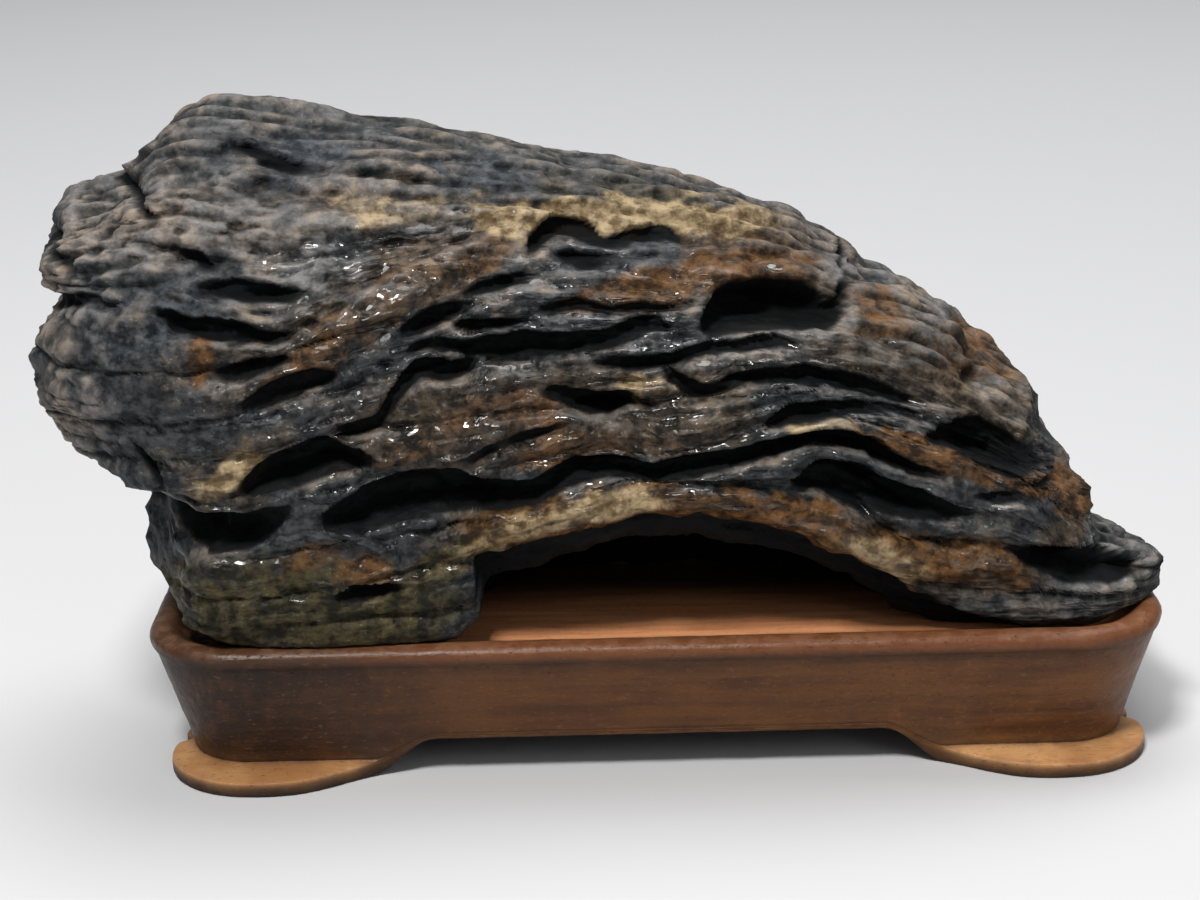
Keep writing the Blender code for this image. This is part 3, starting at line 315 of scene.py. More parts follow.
# Gaps between the beds of the front, each a line of (x, z, half height, depth) knots. The stone
# above a gap hangs over it, and each gap closes at its two ends.
FRONT_GAPS = [
    # Top left, from the crest down to the wide hollow above the foot.
    [(-107, 157, 1, 1.5), (-99, 156, 1.8, 3), (-90, 152.5, 1.8, 2.6), (-80, 151, 1, 1.2)],
    [(-100, 148, 1, 1), (-93, 149, 2.2, 2), (-84, 147, 1, 1)],
    [(-142, 150, 1, 1.5), (-134, 149, 1.4, 2.6), (-127, 146.5, 1.4, 2.4), (-121, 143, 1, 1)],
    [(-116, 138, 1, 1), (-110, 134.5, 1.3, 3), (-104, 131, 1, 1)],
    [(-111, 128, 1.4, 1.5), (-100, 127.5, 2.4, 4), (-90, 126, 2, 3.5), (-82, 125, 1, 1)],
    [(-121, 124, 1.2, 1.5), (-115, 121.5, 1.9, 5), (-100, 118.5, 2, 5.5), (-88, 116, 1.2, 2)],
    [(-158, 121, 2.6, 4), (-150, 122, 2.4, 3.5), (-140, 126, 1.6, 2.4), (-128, 124, 1, 1)],
    [(-156, 137, 1.4, 1.6), (-146, 134, 1.5, 2.2), (-137, 130, 1, 1)],
    [(-107, 109, 1, 1.5), (-99, 110, 2.2, 4.5), (-91, 111.5, 1.6, 3), (-86, 112, 1, 1)],
    [(-101, 101, 1, 1), (-94, 104, 2.4, 5), (-84, 107, 2.4, 5), (-76, 108, 1.2, 1.5)],
    [(-130, 92, 1, 1), (-124, 87, 1.6, 3), (-120, 80, 1.6, 3)],
    # The wide hollow on the left, and the crack that climbs from it.
    [(-102, 80, 1.5, 2), (-96, 84, 3.4, 8), (-88, 87, 4.4, 11), (-80, 89, 4.4, 11), (-74, 88, 3, 7),
     (-68, 86, 1.5, 2)],
    [(-79, 95, 1, 1), (-73, 95.5, 1.8, 4), (-67, 97, 1.6, 4), (-63, 102, 1.6, 4), (-58, 107.5, 2, 5),
     (-48, 107.5, 2.2, 5.5), (-42, 109.5, 1.6, 3)],
    # The recess between the left foot and the overhang.
    [(-134, 73, 3, 3), (-126, 72, 3.6, 6), (-118, 70.5, 4.4, 10), (-108, 70, 4.8, 12), (-98, 71, 4, 9),
     (-92, 74, 2.4, 4), (-88, 76, 1.2, 1)],
    [(-80, 51.5, 1, 2), (-75, 52.3, 1.9, 6), (-69, 53, 1.9, 6), (-63, 53.6, 1, 2)],
    # The long gap over the arch.
    [(-82, 72, 2, 3), (-75, 74, 4, 9), (-60, 78, 5.4, 13), (-50, 78.5, 5, 13), (-40, 77, 3.6, 11),
     (-30, 77.5, 3, 9), (-22, 81, 2.8, 8.5), (-12, 83, 2.8, 8.5), (0, 82, 2.6, 8.5), (10, 83, 2.4, 8),
     (20, 84.5, 2.2, 7), (30, 86.5, 1.8, 6), (40, 88.3, 1.6, 5.5), (48, 87.8, 1.8, 6), (54, 85, 1.8, 6),
     (62, 80.5, 1.6, 4.5), (72, 77, 1, 1)],
    # Short gaps in the middle of the front, from the top down.
    [(-31, 131, 1, 1), (-27, 135, 1.8, 4.5), (-21, 137, 2.2, 5), (-16, 135.5, 2, 4), (-10, 133, 1.6, 3),
     (-2, 133.5, 1.8, 3.5), (8, 133, 1.4, 2.5), (13, 131, 1, 1)],
    [(-25, 131.5, 1, 1), (-18, 129.5, 1.8, 3.5), (-8, 129, 1.4, 2), (0, 128.5, 1, 1)],
    [(-48, 122.5, 1, 1), (-41, 125, 1.6, 3.5), (-34, 126, 1.4, 3), (-27, 126.5, 1, 1)],
    [(-62, 116, 1.2, 1.5), (-56, 118.7, 2.2, 5), (-50, 120.5, 2, 5), (-42, 122, 1, 1.5)],
    [(-52, 118, 1, 1), (-42, 117, 1.4, 3), (-32, 117, 1.2, 2), (-29, 117, 1, 1)],
    [(-30, 119, 1, 1), (-22, 120, 1.4, 3.5), (-12, 119, 1.2, 2.5), (0, 118.5, 1.2, 2.5),
     (10, 118.5, 1, 1.5)],
    [(-62, 110.5, 1, 1), (-56, 113.5, 1.4, 3), (-46, 112.5, 1.6, 4), (-38, 112, 2.6, 7), (-28, 112, 3, 7.5),
     (-18, 112, 2.4, 6.5), (-9, 113, 2.2, 5.5), (0, 115, 2, 4.5), (5, 114, 1.2, 2)],
    [(-14, 107.5, 1, 1), (-6, 106.8, 1.5, 3.5), (4, 107, 1.5, 3.5), (12, 109, 1.4, 3.5),
     (20, 109.2, 1.5, 3.5), (30, 110, 1.5, 3.5), (36, 108.5, 1, 1.5)],
    [(1, 105, 1, 1), (8, 101.5, 1.8, 5), (14, 100, 1.7, 4.5), (22, 102.5, 1.6, 4), (31, 102.5, 2, 5),
     (42, 101.8, 2, 5.5), (52, 99, 1.9, 5), (60, 96, 1.6, 3.5), (68, 93, 1, 1)],
    [(-28, 101, 1, 1), (-23, 100, 2, 5), (-16, 98.6, 2.6, 7.5), (-9, 98.6, 2.4, 6.5), (-4, 99.5, 1, 1.5)],
    [(27, 91, 1, 1), (33, 93.3, 1.8, 4.5), (40, 94, 2, 5), (47, 94.2, 1.6, 4), (56, 93.8, 1.4, 3),
     (64, 91.5, 1.2, 2), (72, 89, 1, 1)],
    [(-40, 87.5, 1, 1), (-33, 90, 1.5, 3), (-26, 92, 1.2, 2.5), (-20, 93, 1, 1)],
    [(-52, 83.8, 1, 1), (-45, 86, 1.4, 2.5), (-36, 89.5, 1.2, 2), (-30, 91, 1, 1)],
    # The cave under the nose of the upper slab.
    [(12, 113, 1.2, 2), (17, 117, 4, 9), (24, 118.5, 4.6, 13), (34, 118, 4.4, 14), (42, 116.5, 3.4, 11),
     (47, 114.5, 2.4, 6), (52, 119, 1.2, 3)],
    [(49, 117, 1, 2), (51.5, 121, 1.1, 3.5), (54, 125, 1.1, 3.5), (57, 129, 1, 2.5)],
    # The hollows on the right, from the top down.
    [(79, 97.3, 1, 1.5), (84, 97.5, 1.5, 4.5), (89, 98.3, 1, 1.5)],
    [(67, 85.5, 1.2, 1.5), (73, 86, 2.4, 7), (80, 85.3, 4.2, 12), (88, 82.5, 4.8, 12), (94, 79.5, 2.8, 7),
     (101, 78.6, 1.6, 4), (109, 79.5, 1.2, 2)],
    [(88, 73, 1, 1), (96, 73.5, 1.4, 3), (103, 72.4, 1.4, 3), (109, 72, 1, 1)],
    [(34, 77, 1.2, 2), (39, 78.5, 3.2, 8), (46, 77.5, 4.6, 12), (54, 75, 4.2, 12), (62, 72.3, 3.4, 10),
     (69, 70.3, 2.6, 7), (77, 68, 1.4, 2.5), (84, 66, 1, 1)],
    [(78, 72, 1, 1), (86, 71.5, 1.4, 3), (95, 70, 1, 1.5)],
    [(88, 58, 1.2, 1.5), (95, 55.6, 2.8, 8), (103, 54, 3.9, 12), (112, 51.6, 3.8, 12), (119, 49.2, 2.8, 8),
     (125, 47.6, 1.4, 2.5)],
]

# Gaps of the back, as above. They run with the beds and close before they meet the front.
BACK_GAPS = [
    [(-120, 96, 1.5, 2), (-95, 92, 3.4, 8), (-70, 90, 3.8, 9), (-40, 93, 2.4, 6), (-15, 97, 1.2, 2)],
    [(-60, 70, 1.5, 2), (-30, 74, 3.6, 8), (5, 77, 4.2, 10), (40, 73, 3.4, 8), (75, 62, 1.5, 2)],
    [(-100, 122, 1.2, 1.5), (-70, 124, 2, 4.5), (-35, 121, 2.4, 5), (0, 116, 2, 4.5), (30, 110, 1.2, 1.5)],
    [(-118, 60, 1.5, 2), (-95, 57, 3, 6), (-70, 55, 2.6, 5), (-45, 54, 1.2, 1.5)],
    [(20, 98, 1.2, 1.5), (45, 94, 2.6, 6), (70, 86, 2.6, 6), (95, 74, 1.4, 2)],
    [(30, 56, 1.2, 1.5), (60, 52, 3.2, 7), (90, 47, 2.6, 5), (112, 43, 1.2, 1.5)],
    [(-140, 110, 1.2, 1.5), (-120, 112, 2, 4), (-90, 108, 1.6, 3), (-70, 107, 1, 1)],
]

# Ribs that stand proud of the front, each a line of (x, z, half height, height) knots.
FRONT_RIBS = [
    [(-92, 106, 4, 1), (-80, 114, 5, 3), (-64, 124, 5, 3.5), (-48, 130, 4.5, 3), (-36, 134, 3, 1)],
    [(-60, 58, 3.5, 1), (-45, 66, 5, 2.5), (-25, 70.5, 4.5, 2.5), (0, 74.5, 3.5, 2.5), (20, 73, 4, 2.5),
     (40, 67, 4.5, 3), (60, 58, 5, 3), (80, 54, 5, 2)],
    [(24, 88.5, 1.2, 0.8), (38, 91, 1.8, 2.2), (50, 90, 1.8, 2.2), (62, 85, 1.8, 2), (78, 79.5, 2.2, 2),
     (94, 74.5, 1.6, 0.8)],
    [(32, 81.5, 1.2, 0.8), (40, 84.5, 1.5, 1.8), (47, 84, 1.5, 1.8), (58, 79.5, 1.3, 1.2),
     (72, 75, 1, 0.6)],
    [(-88, 72, 1.6, 0.8), (-78, 70, 2.2, 2.4), (-70, 65, 2.2, 2.4), (-62, 58, 1.8, 1.2)],
    [(-103, 77, 1.2, 0.6), (-95, 80.5, 1.4, 2), (-86, 80, 1.4, 2), (-79, 78, 1.3, 1.8),
     (-72, 81, 1.2, 0.6)],
    [(20, 124, 2, 0.6), (32, 124, 3, 2), (44, 122, 3.5, 3), (50, 121, 2.5, 2)],
    [(44, 116, 3, 0.6), (56, 112, 5, 2.2), (70, 104, 6, 2), (84, 99, 4, 1.5)],
    [(-130, 132, 5, 0.6), (-112, 141, 6, 1.8), (-90, 140, 5, 1.6), (-70, 139, 3, 0.8)],
]

# Colour of the front, each band a line of (x, z, half height, strength) knots.
RUST_BANDS = [
    [(-94, 104, 4, 0.4), (-84, 111, 6, 0.6), (-70, 120, 7, 0.4), (-56, 128, 7, 0.35), (-42, 132, 6, 0.45),
     (-32, 134, 3, 0.4)],
    [(-114, 112, 4, 0.8), (-110, 113, 6, 1), (-105, 114, 4, 0.6)],
    [(-26, 120, 2, 0.6), (-12, 121.5, 3.5, 0.9), (4, 122.5, 4.5, 1), (16, 125, 4, 1), (30, 125, 3, 0.8),
     (44, 123, 2.5, 0.5)],
    [(8, 130, 4, 0.4), (24, 130, 5, 0.5), (44, 126, 5, 0.2)],
    [(50, 114, 4, 0.4), (58, 112, 5, 0.7), (64, 108, 4, 0.4)],
    [(68, 103, 4, 0.3), (80, 101, 5, 0.6), (90, 99, 4, 0.6), (95, 95, 3, 0.4)],
    [(48, 90, 1.5, 0.6), (60, 85.5, 2.4, 0.9), (74, 80.5, 3.4, 1), (88, 76, 3.2, 1), (98, 72, 3, 0.8),
     (108, 66, 5, 0.6), (114, 60, 3, 0.3)],
    [(-48, 66, 4, 0.7), (-38, 69, 5, 1), (-26, 71, 5, 1), (-10, 72.5, 5, 1), (8, 73, 5, 1),
     (24, 71.5, 5, 1), (38, 67.5, 5.5, 1), (50, 61.5, 6, 1), (62, 56.5, 6.5, 1), (76, 54.5, 6, 1),
     (88, 53.5, 5, 0.9), (96, 50, 3, 0.4)],
    [(-72, 88, 5, 0.2), (-62, 90, 6, 0.4), (-50, 95, 5, 0.4), (-38, 98, 4.5, 0.5), (-26, 96.5, 4, 0.5),
     (-20, 92, 3, 0.3)],
    [(-34, 84, 3, 0.4), (-26, 86.5, 5, 0.7), (-16, 87.5, 4, 0.5), (0, 88, 3, 0.3), (16, 89, 3, 0.2)],
    [(-80, 59, 2.5, 0.4), (-70, 58, 3, 0.9), (-64, 57, 2, 0.5)],
    [(-96, 60, 3, 0.3), (-86, 62.5, 4, 0.6), (-78, 64, 3, 0.4)],
]
OCHRE_BANDS = [
    [(-46, 141, 2.5, 0.6), (-38, 139.5, 3.5, 1), (-29, 138, 2.5, 0.7)],
    [(-30, 138, 3, 0.7), (-20, 138, 3.4, 1), (-12, 137.5, 3.8, 1), (-2, 137, 3.6, 0.9), (8, 136.5, 3.2, 1),
     (18, 135, 3, 0.8), (28, 133.5, 3, 0.6), (38, 131.5, 2.5, 0.3)],
    [(-112, 80, 2.5, 0.5), (-106, 82.5, 4, 1), (-99, 86, 4, 1), (-93, 88.5, 2.5, 0.6)],
    [(-78, 143, 2, 0.3), (-70, 142, 3, 0.7), (-60, 143, 2.5, 0.5), (-50, 143, 2, 0.3)],
    [(-56, 58, 2, 0.2), (-46, 63, 3, 0.4), (-36, 68, 3.5, 0.5), (-24, 72, 3.5, 0.6), (-14, 74, 3, 1),
     (-4, 74.5, 2.8, 1), (4, 75, 2, 0.4)],
    [(44, 63, 3, 0.3), (52, 60, 4, 0.7), (62, 54, 4, 0.6), (68, 51, 3, 0.3)],
    [(26, 91, 1.2, 0.3), (34, 91.8, 1.6, 0.8), (44, 91.5, 1.4, 0.6), (52, 89.5, 1, 0.3)],
    [(-8, 102.5, 1.5, 0.4), (0, 102, 2, 0.7), (5, 101, 1.2, 0.3)],
]
MOSS_BANDS = [
    [(-124, 46, 10, 0.8), (-108, 48, 12, 1), (-90, 50, 13, 1), (-72, 48, 12, 1), (-56, 48, 9, 0.8),
     (-47, 48, 7, 0.4)],
    [(-62, 57, 2.5, 0.5), (-52, 60, 4.5, 1), (-42, 66, 6, 1), (-32, 71, 4, 0.8), (-22, 74, 3, 0.5)],
    [(-28, 143, 4, 0.4), (-12, 143, 4, 0.4), (4, 140, 3.5, 0.6), (16, 137, 3, 0.5)],
]
BLUE_BANDS = [
    [(-98, 156, 3, 0.6), (-88, 155.5, 4.5, 1), (-76, 154, 4, 0.7), (-68, 153, 3, 0.3)],
    [(-98, 149, 2, 0.5), (-92, 149, 3, 0.9), (-84, 148, 2, 0.5)],
    [(-56, 148, 3, 0.5), (-46, 149, 4, 1), (-34, 147, 3, 0.7), (-24, 146, 2, 0.4)],
    [(-26, 132, 5, 0.7), (-10, 131, 5, 1), (4, 131, 5, 0.9), (12, 129, 3, 0.4)],
    [(-140, 120, 8, 0.4), (-126, 120, 10, 0.6), (-104, 128, 4, 0.5), (-90, 127, 3, 0.4)],
]
PALE_BANDS = [
    [(-150, 140, 9, 0.6), (-130, 141, 9, 0.8), (-110, 142, 7, 1), (-90, 142, 6, 1), (-70, 145, 5, 0.8),
     (-50, 146, 4, 0.5)],
    [(-100, 133, 4, 0.3), (-88, 132, 5, 0.9), (-76, 131, 4, 0.9), (-68, 131, 3, 0.4)],
    [(62, 42, 5, 0.3), (80, 41, 5, 0.4), (100, 42, 6, 0.6), (118, 42, 6, 0.7), (130, 46, 6, 0.5)],
    [(-152, 98, 16, 1), (-142, 95, 16, 0.9), (-130, 96, 10, 0.4)],
    [(-36, 61, 2, 0.4), (-24, 62, 3, 0.9), (-10, 61, 3, 0.8), (2, 60, 2, 0.3)],
    [(30, 128, 4, 0.3), (42, 126, 5, 0.8), (54, 121, 5, 0.9), (62, 117, 4, 0.4)],
    [(60, 117, 6, 0.3), (76, 108, 8, 0.5), (90, 98, 8, 0.5), (100, 90, 6, 0.2)],
    [(-152, 118, 12, 0.8), (-142, 120, 12, 0.8), (-130, 122, 8, 0.4)],
]
WARM_BANDS = [
    [(-80, 92, 8, 0.4), (-60, 95, 11, 0.9), (-30, 95, 11, 1), (0, 95, 11, 0.9), (26, 96, 8, 0.6)],
    [(30, 116, 6, 0.4), (48, 110, 9, 0.9), (66, 103, 10, 1), (82, 97, 10, 1), (96, 84, 9, 0.7)],
    [(-14, 127, 6, 0.4), (8, 128, 8, 0.9), (28, 129, 9, 1), (46, 126, 8, 0.9), (54, 122, 4, 0.5)],
    [(-60, 60, 6, 0.5), (-30, 68, 6, 1), (0, 73, 6, 1), (30, 68, 7, 1), (60, 56, 8, 1), (90, 53, 7, 1),
     (108, 62, 8, 0.7)],
    [(-112, 106, 8, 0.3), (-90, 112, 9, 0.8), (-60, 128, 9, 0.9), (-36, 134, 6, 0.6)],
    [(-116, 80, 7, 0.5), (-100, 84, 8, 0.9), (-86, 92, 7, 0.6)],
    [(-150, 141, 7, 0.3), (-120, 142, 8, 0.6), (-90, 143, 7, 0.8), (-60, 144, 6, 0.7), (-30, 142, 5, 0.5)],
]
WET_BANDS = [
    [(-124, 72, 22, 0.3), (-100, 84, 30, 0.7), (-70, 94, 36, 1), (-40, 96, 36, 1), (0, 92, 34, 1),
     (30, 90, 28, 1), (60, 78, 24, 1), (90, 66, 18, 0.9), (124, 50, 10, 0.5)],
    [(-98, 130, 4, 0.4), (-86, 131, 6, 1), (-72, 132, 5, 0.9), (-60, 135, 4, 0.8), (-48, 138, 4, 0.7),
     (-36, 138, 3, 0.4)],
]

# Where the front is broken into many thin ledges, as above.
LEDGE_BANDS = [
    [(-52, 108, 8, 0.4), (-36, 112, 11, 0.8), (-10, 108, 12, 0.8), (20, 101, 12, 1), (50, 96, 12, 1),
     (76, 86, 10, 0.8), (100, 72, 9, 0.6)],
    [(-16, 82, 4, 0.4), (10, 79, 5, 0.8), (40, 78, 7, 1), (66, 70, 6, 0.7), (90, 66, 6, 0.6),
     (108, 62, 6, 0.5)],
    [(-124, 122, 8, 0.4), (-106, 122, 9, 0.7), (-84, 120, 7, 0.5)],
]

# Outline of the stand: stations round the lip, as places along a quarter of its edge.
STRAIGHT_STATIONS = 56
CORNER_STATIONS = 28
SHORT_STATIONS = 16

# How far the thin foot stands out from the wall, by the distance along a quarter of the wall from
# the middle of the long side, with the small notch on the short side.
FOOT_SPREAD = [
    (68, 0), (72, 0.3), (77, 2.6), (84, 6.8), (91, 10), (98, 11.2), (106, 11), (114, 10),
    (122, 8), (128, 6), (131, 4.6), (133.5, 1.2), (136, 3.2), (139, 3.2), (142, 1.8), (145, 0.1),
    (150, 0),
]
LONG_ARCH = (57.0, 74.0)
SHORT_ARCH = (151.0, 143.0)

WALL_FOOT_INSET = 8.0
FOOT_TOP = 4.6
FOOT_THICKNESS = 1.4
WALL_TOP_INSET = 1.1
INNER_WALL_INSET = 17.0

# Random forms of the surface, as their height and their size along X, Y and Z, and the beds, as
# their thickness and a number that sets them apart.
WIDE_LUMPS = (2.2, 38.0, 38.0, 30.0)
SMALL_LUMPS = (1.1, 15.0, 15.0, 12.0)
TOP_GROOVES = (0.9, 42.0, 4.5, 6.0)
BED_SETS = ((11.0, 0.0), (4.4, 31.0))
WIDE_WAVE = (2.6, 34.0, 34.0, 18.0)
SMALL_WAVE = (1.0, 11.0, 11.0, 8.0)
BED_STAND = (0.17, 30.0, 30.0, 1 / 7.3)
BED_NOSE = 0.07
BED_CREASE = 0.09
BED_DIP = 0.1
GAP_OVERHANG = 0.5

# How gap, rib and colour lines end: across their height, as shares of their half height, and along X.
LINE_TOP = (1.12, 0.66)
LINE_FOOT = (-1.25, -0.1)
LINE_END = 1.5
BAND_EDGE = (1.5, 0.5)
BAND_THINNEST = 0.5
BAND_END = 3

# How forms move the surface out, how high ground reaches back, and where all of them fade at the seat.
FLAT_WAY = 0.35
HIGH_REACH = 1.4
SEAT_FADE = (0.4, 5.0)
NOISE_SEED = 23
LATTICE = 256
GENERATOR = np.random.default_rng(NOISE_SEED)
ORDER = GENERATOR.permutation(LATTICE)
SLOPES = GENERATOR.normal(size=(LATTICE, 3))
SLOPES /= np.linalg.norm(SLOPES, axis=1, keepdims=True)


def unit(vectors):
    """Vectors brought to a length of 1."""
    return vectors / np.maximum(np.linalg.norm(vectors, axis=-1, keepdims=True), 1e-9)


def curve(knots, at, column=1):
    """Read a smooth curve through given knots, at positions of any shape."""
    x = np.array([k[0] for k in knots], float)
    y = np.array([k[column] for k in knots], float)
    slope = np.gradient(y, x)
    i = np.clip(np.searchsorted(x, at) - 1, 0, len(x) - 2)
    span = x[i + 1] - x[i]
    t = np.clip((at - x[i]) / span, 0, 1)
    return (
        (2 * t**3 - 3 * t**2 + 1) * y[i]
        + (t**3 - 2 * t**2 + t) * span * slope[i]
        + (3 * t**2 - 2 * t**3) * y[i + 1]
        + (t**3 - t**2) * span * slope[i + 1]
    )


def smooth_step(low, high, value):
    """Rise from 0 at low to 1 at high without a corner."""
    t = np.clip((value - low) / (high - low), 0, 1)
    return t * t * (3 - 2 * t)


def noise(x, y, z):
    """Smooth random values of about -1 to 1 that change over each unit of length."""
    point = np.stack(np.broadcast_arrays(x, y, z), axis=-1).reshape(-1, 3)
    cell = np.floor(point).astype(int)
    local = point - cell
    fade = local**3 * (local * (local * 6 - 15) + 10)
    total = np.zeros(len(point))
    for corner in itertools.product((0, 1), repeat=3):
        key = (cell + corner) % LATTICE
        pick = ORDER[(ORDER[key[:, 0]] + key[:, 1]) % LATTICE]
        pick = ORDER[(pick + key[:, 2]) % LATTICE]
        weight = np.prod(np.where(np.array(corner) == 1, fade, 1 - fade), axis=1)
        total += weight * np.sum(SLOPES[pick] * (local - corner), axis=1)
    return 1.6 * total.reshape(np.shape(x))


def forms(size, x, y, z, apart=0.0):
    """Random forms of one height and size."""
    height, long_size, deep_size, tall_size = size
    return height * noise(x / long_size, y / deep_size + apart, z / tall_size)


def lip_distance(x, y):
    """How far a point lies inside the outline of the stand's lip."""
    beyond_x = np.abs(x) - (STAND_LENGTH / 2 - LIP_CORNER_RADIUS)
    beyond_y = np.abs(y) - (STAND_DEPTH / 2 - LIP_CORNER_RADIUS)
    outside = np.hypot(np.maximum(beyond_x, 0), np.maximum(beyond_y, 0))
    return LIP_CORNER_RADIUS - outside - np.minimum(np.maximum(beyond_x, beyond_y), 0)


def seat_height(x, y):
    """The lowest level that the rock may reach: the tray's floor, and higher over the lip."""
    low = FLOOR_HEIGHT + SEAT_GAP
    return low + (STAND_HEIGHT + RIM_GAP - low) * smooth_step(*RIM_CLIMB, lip_distance(x, y))


def end_taper(x, z):
    """How much of the section is left near the two ends."""
    left = np.clip((curve(LEFT_END, z) + LEFT_ROUNDING - x) / LEFT_ROUNDING, 0, 1)
    right = np.clip((x - ROCK_RIGHT + RIGHT_ROUNDING) / RIGHT_ROUNDING, 0, 1)
    return ((1 - left**END_POWER) * (1 - right**END_POWER)) ** (1 / END_POWER)


def smooth_max(a, b, blend):
    """The larger of two fields, with the corner between them rounded."""
    h = np.clip(0.5 + 0.5 * (a - b) / blend, 0, 1)
    return b + (a - b) * h + blend * h * (1 - h)


def rock_field(x, y, z):
    """Below zero inside the rock, without its beds and gaps, and about in millimetres."""
    seat = seat_height(x, y) - z
    ridge = curve(RIDGE, x)
    z = z + curve(BACK_FALL, x) * np.maximum(y - ridge, 0)
    waist = curve(WAIST, x)
    upper = z > waist
    reach_y = np.where(y < ridge, ridge - curve(FRONT, x), curve(BACK, x) - ridge)
    foot = smooth_step(*LEFT_FOOT_PLACES, x) * smooth_step(*LEFT_FOOT_LEVELS, z)
    reach_y = reach_y * (1 - LEFT_FOOT_TAPER * foot)
    reach_z = np.where(upper, curve(CREST, x) - waist, waist - curve(FOOT, x))
    power = np.where(upper, curve(TOP_POWER, x), curve(LOW_POWER, x))
    spread = np.abs((y - ridge) / reach_y) ** power + np.abs((z - waist) / reach_z) ** power
    body = (spread ** (1 / power) - end_taper(x, z)) * np.minimum(reach_y, reach_z)
    depth = y - curve(FRONT, x)
    ledge = ARCH_LEDGE_DROP * smooth_step(ARCH_LEDGE_START, ARCH_LEDGE_END, depth)
    side = curve(ARCH_LEFT, z) - x - ARCH_LEFT_SLANT * (depth - ARCH_LEDGE_START)
    hollow = smooth_max(z - curve(ARCH_LIP, x) + ledge, y - curve(ARCH_BACK, x), ARCH_BLEND)
    hollow = smooth_max(hollow, side, ARCH_BLEND)
    return np.maximum(smooth_max(body, -hollow, ARCH_EDGE_BLEND), seat)


def ray_lines(column, angle):
    """Start and direction of the rays that feel for the surface.

    They cross the rock square to its length, and fan out round each end. Column runs from 0 to 1
    along the rock, and an angle of 0 points to the front.
    """
    left_end, right_end = CORE_HEIGHT[0][0], CORE_HEIGHT[-1][0]
    tilt = np.select(
        [column < LEFT_FAN, column > RIGHT_FAN],
        [(column - LEFT_FAN) / LEFT_FAN, (column - RIGHT_FAN) / (1 - RIGHT_FAN)],
        0.0,
    ) * (np.pi / 2)
    along = np.clip((column - LEFT_FAN) / (RIGHT_FAN - LEFT_FAN), 0, 1)
    x = left_end + (right_end - left_end) * along
    start = np.stack(np.broadcast_arrays(x, curve(CORE_Y, x), curve(CORE_HEIGHT, x)), -1)
    way = np.stack(
        np.broadcast_arrays(
            np.sin(tilt), -np.cos(tilt) * np.cos(angle), np.cos(tilt) * np.sin(angle)
        ),
        -1,
    )
    return start, way


def meet_surface(start, way):
    """Where each ray leaves the rock, found by halving."""
    near = np.full(start.shape[:-1], NEAREST_SURFACE)
    far = np.full(start.shape[:-1], FARTHEST_SURFACE)
    for _ in range(HALVINGS):
        middle = (near + far) / 2
        point = start + way * middle[..., None]
        inside = rock_field(*np.moveaxis(point, -1, 0)) < 0
        near = np.where(inside, middle, near)
        far = np.where(inside, far, middle)
    return start + way * near[..., None]


def soften(grid, passes, along=0):
    """Average each value with its neighbours along one side of a grid."""
    for _ in range(passes):
        before = np.concatenate([grid[:1], grid[:-1]]) if along == 0 else np.roll(grid, 1, along)
        after = np.concatenate([grid[1:], grid[-1:]]) if along == 0 else np.roll(grid, -1, along)
        grid = (before + 2 * grid + after) / 4
    return grid


def base_normals(point):
    """Outward directions of a grid of points, smoothed so that neighbours never cross."""
    along = np.gradient(point, axis=0)
    around = np.roll(point, -1, axis=1) - np.roll(point, 1, axis=1)
    normal = unit(np.cross(along, around))
    return unit(soften(soften(normal, NORMAL_PASSES), NORMAL_PASSES, along=1))


def bed_height(x, z):
    """The level in the stack of beds that a point of the front belongs to."""
    levels = sorted(BEDS)
    height = np.full(np.shape(x), float(levels[0]))
    for low, high in zip(levels, levels[1:]):
        bottom, top = curve(BEDS[low], x), curve(BEDS[high], x)
        height = np.where(z > bottom, low + (high - low) * (z - bottom) / (top - bottom), height)
    return height


def line_relief(lines, x, z, overhang):
    """How strongly listed lines mark each point, times the depth or height they give."""
    relief = np.zeros(np.shape(x))
    for knots in lines:
        first, last = knots[0][0], knots[-1][0]
        level = curve(knots, x)
        tilt = np.hypot(1, (curve(knots, x + 0.5) - curve(knots, x - 0.5)))
        away = (z - level) / (tilt * curve(knots, x, 2))
        shape = smooth_step(*LINE_TOP, away) * smooth_step(LINE_FOOT[0] - overhang, LINE_FOOT[1], away)
        ends = smooth_step(first - LINE_END, first + LINE_END, x)
        ends = ends * smooth_step(last + LINE_END, last - LINE_END, x)
        relief = np.maximum(relief, curve(knots, x, 3) * shape * ends)
    return relief


def bed_relief(x, y, z, thickness, seed):
    """Rounded edges of a stack of beds, each standing out by its own amount along the rock."""
    level = bed_height(x, z + BED_DIP * y)
    level = level + forms(WIDE_WAVE, x, y, z, seed) + forms(SMALL_WAVE, x, y, z, seed)
    layer = np.floor(level / thickness)
    place = level / thickness - layer
    nose = 1 - np.abs(2 * place - 0.9) ** 3
    crease = smooth_step(0.1, 0.0, place) + smooth_step(0.93, 1.0, place)
    return thickness * (forms(BED_STAND, x, y, layer, seed) + BED_NOSE * nose - BED_CREASE * crease)


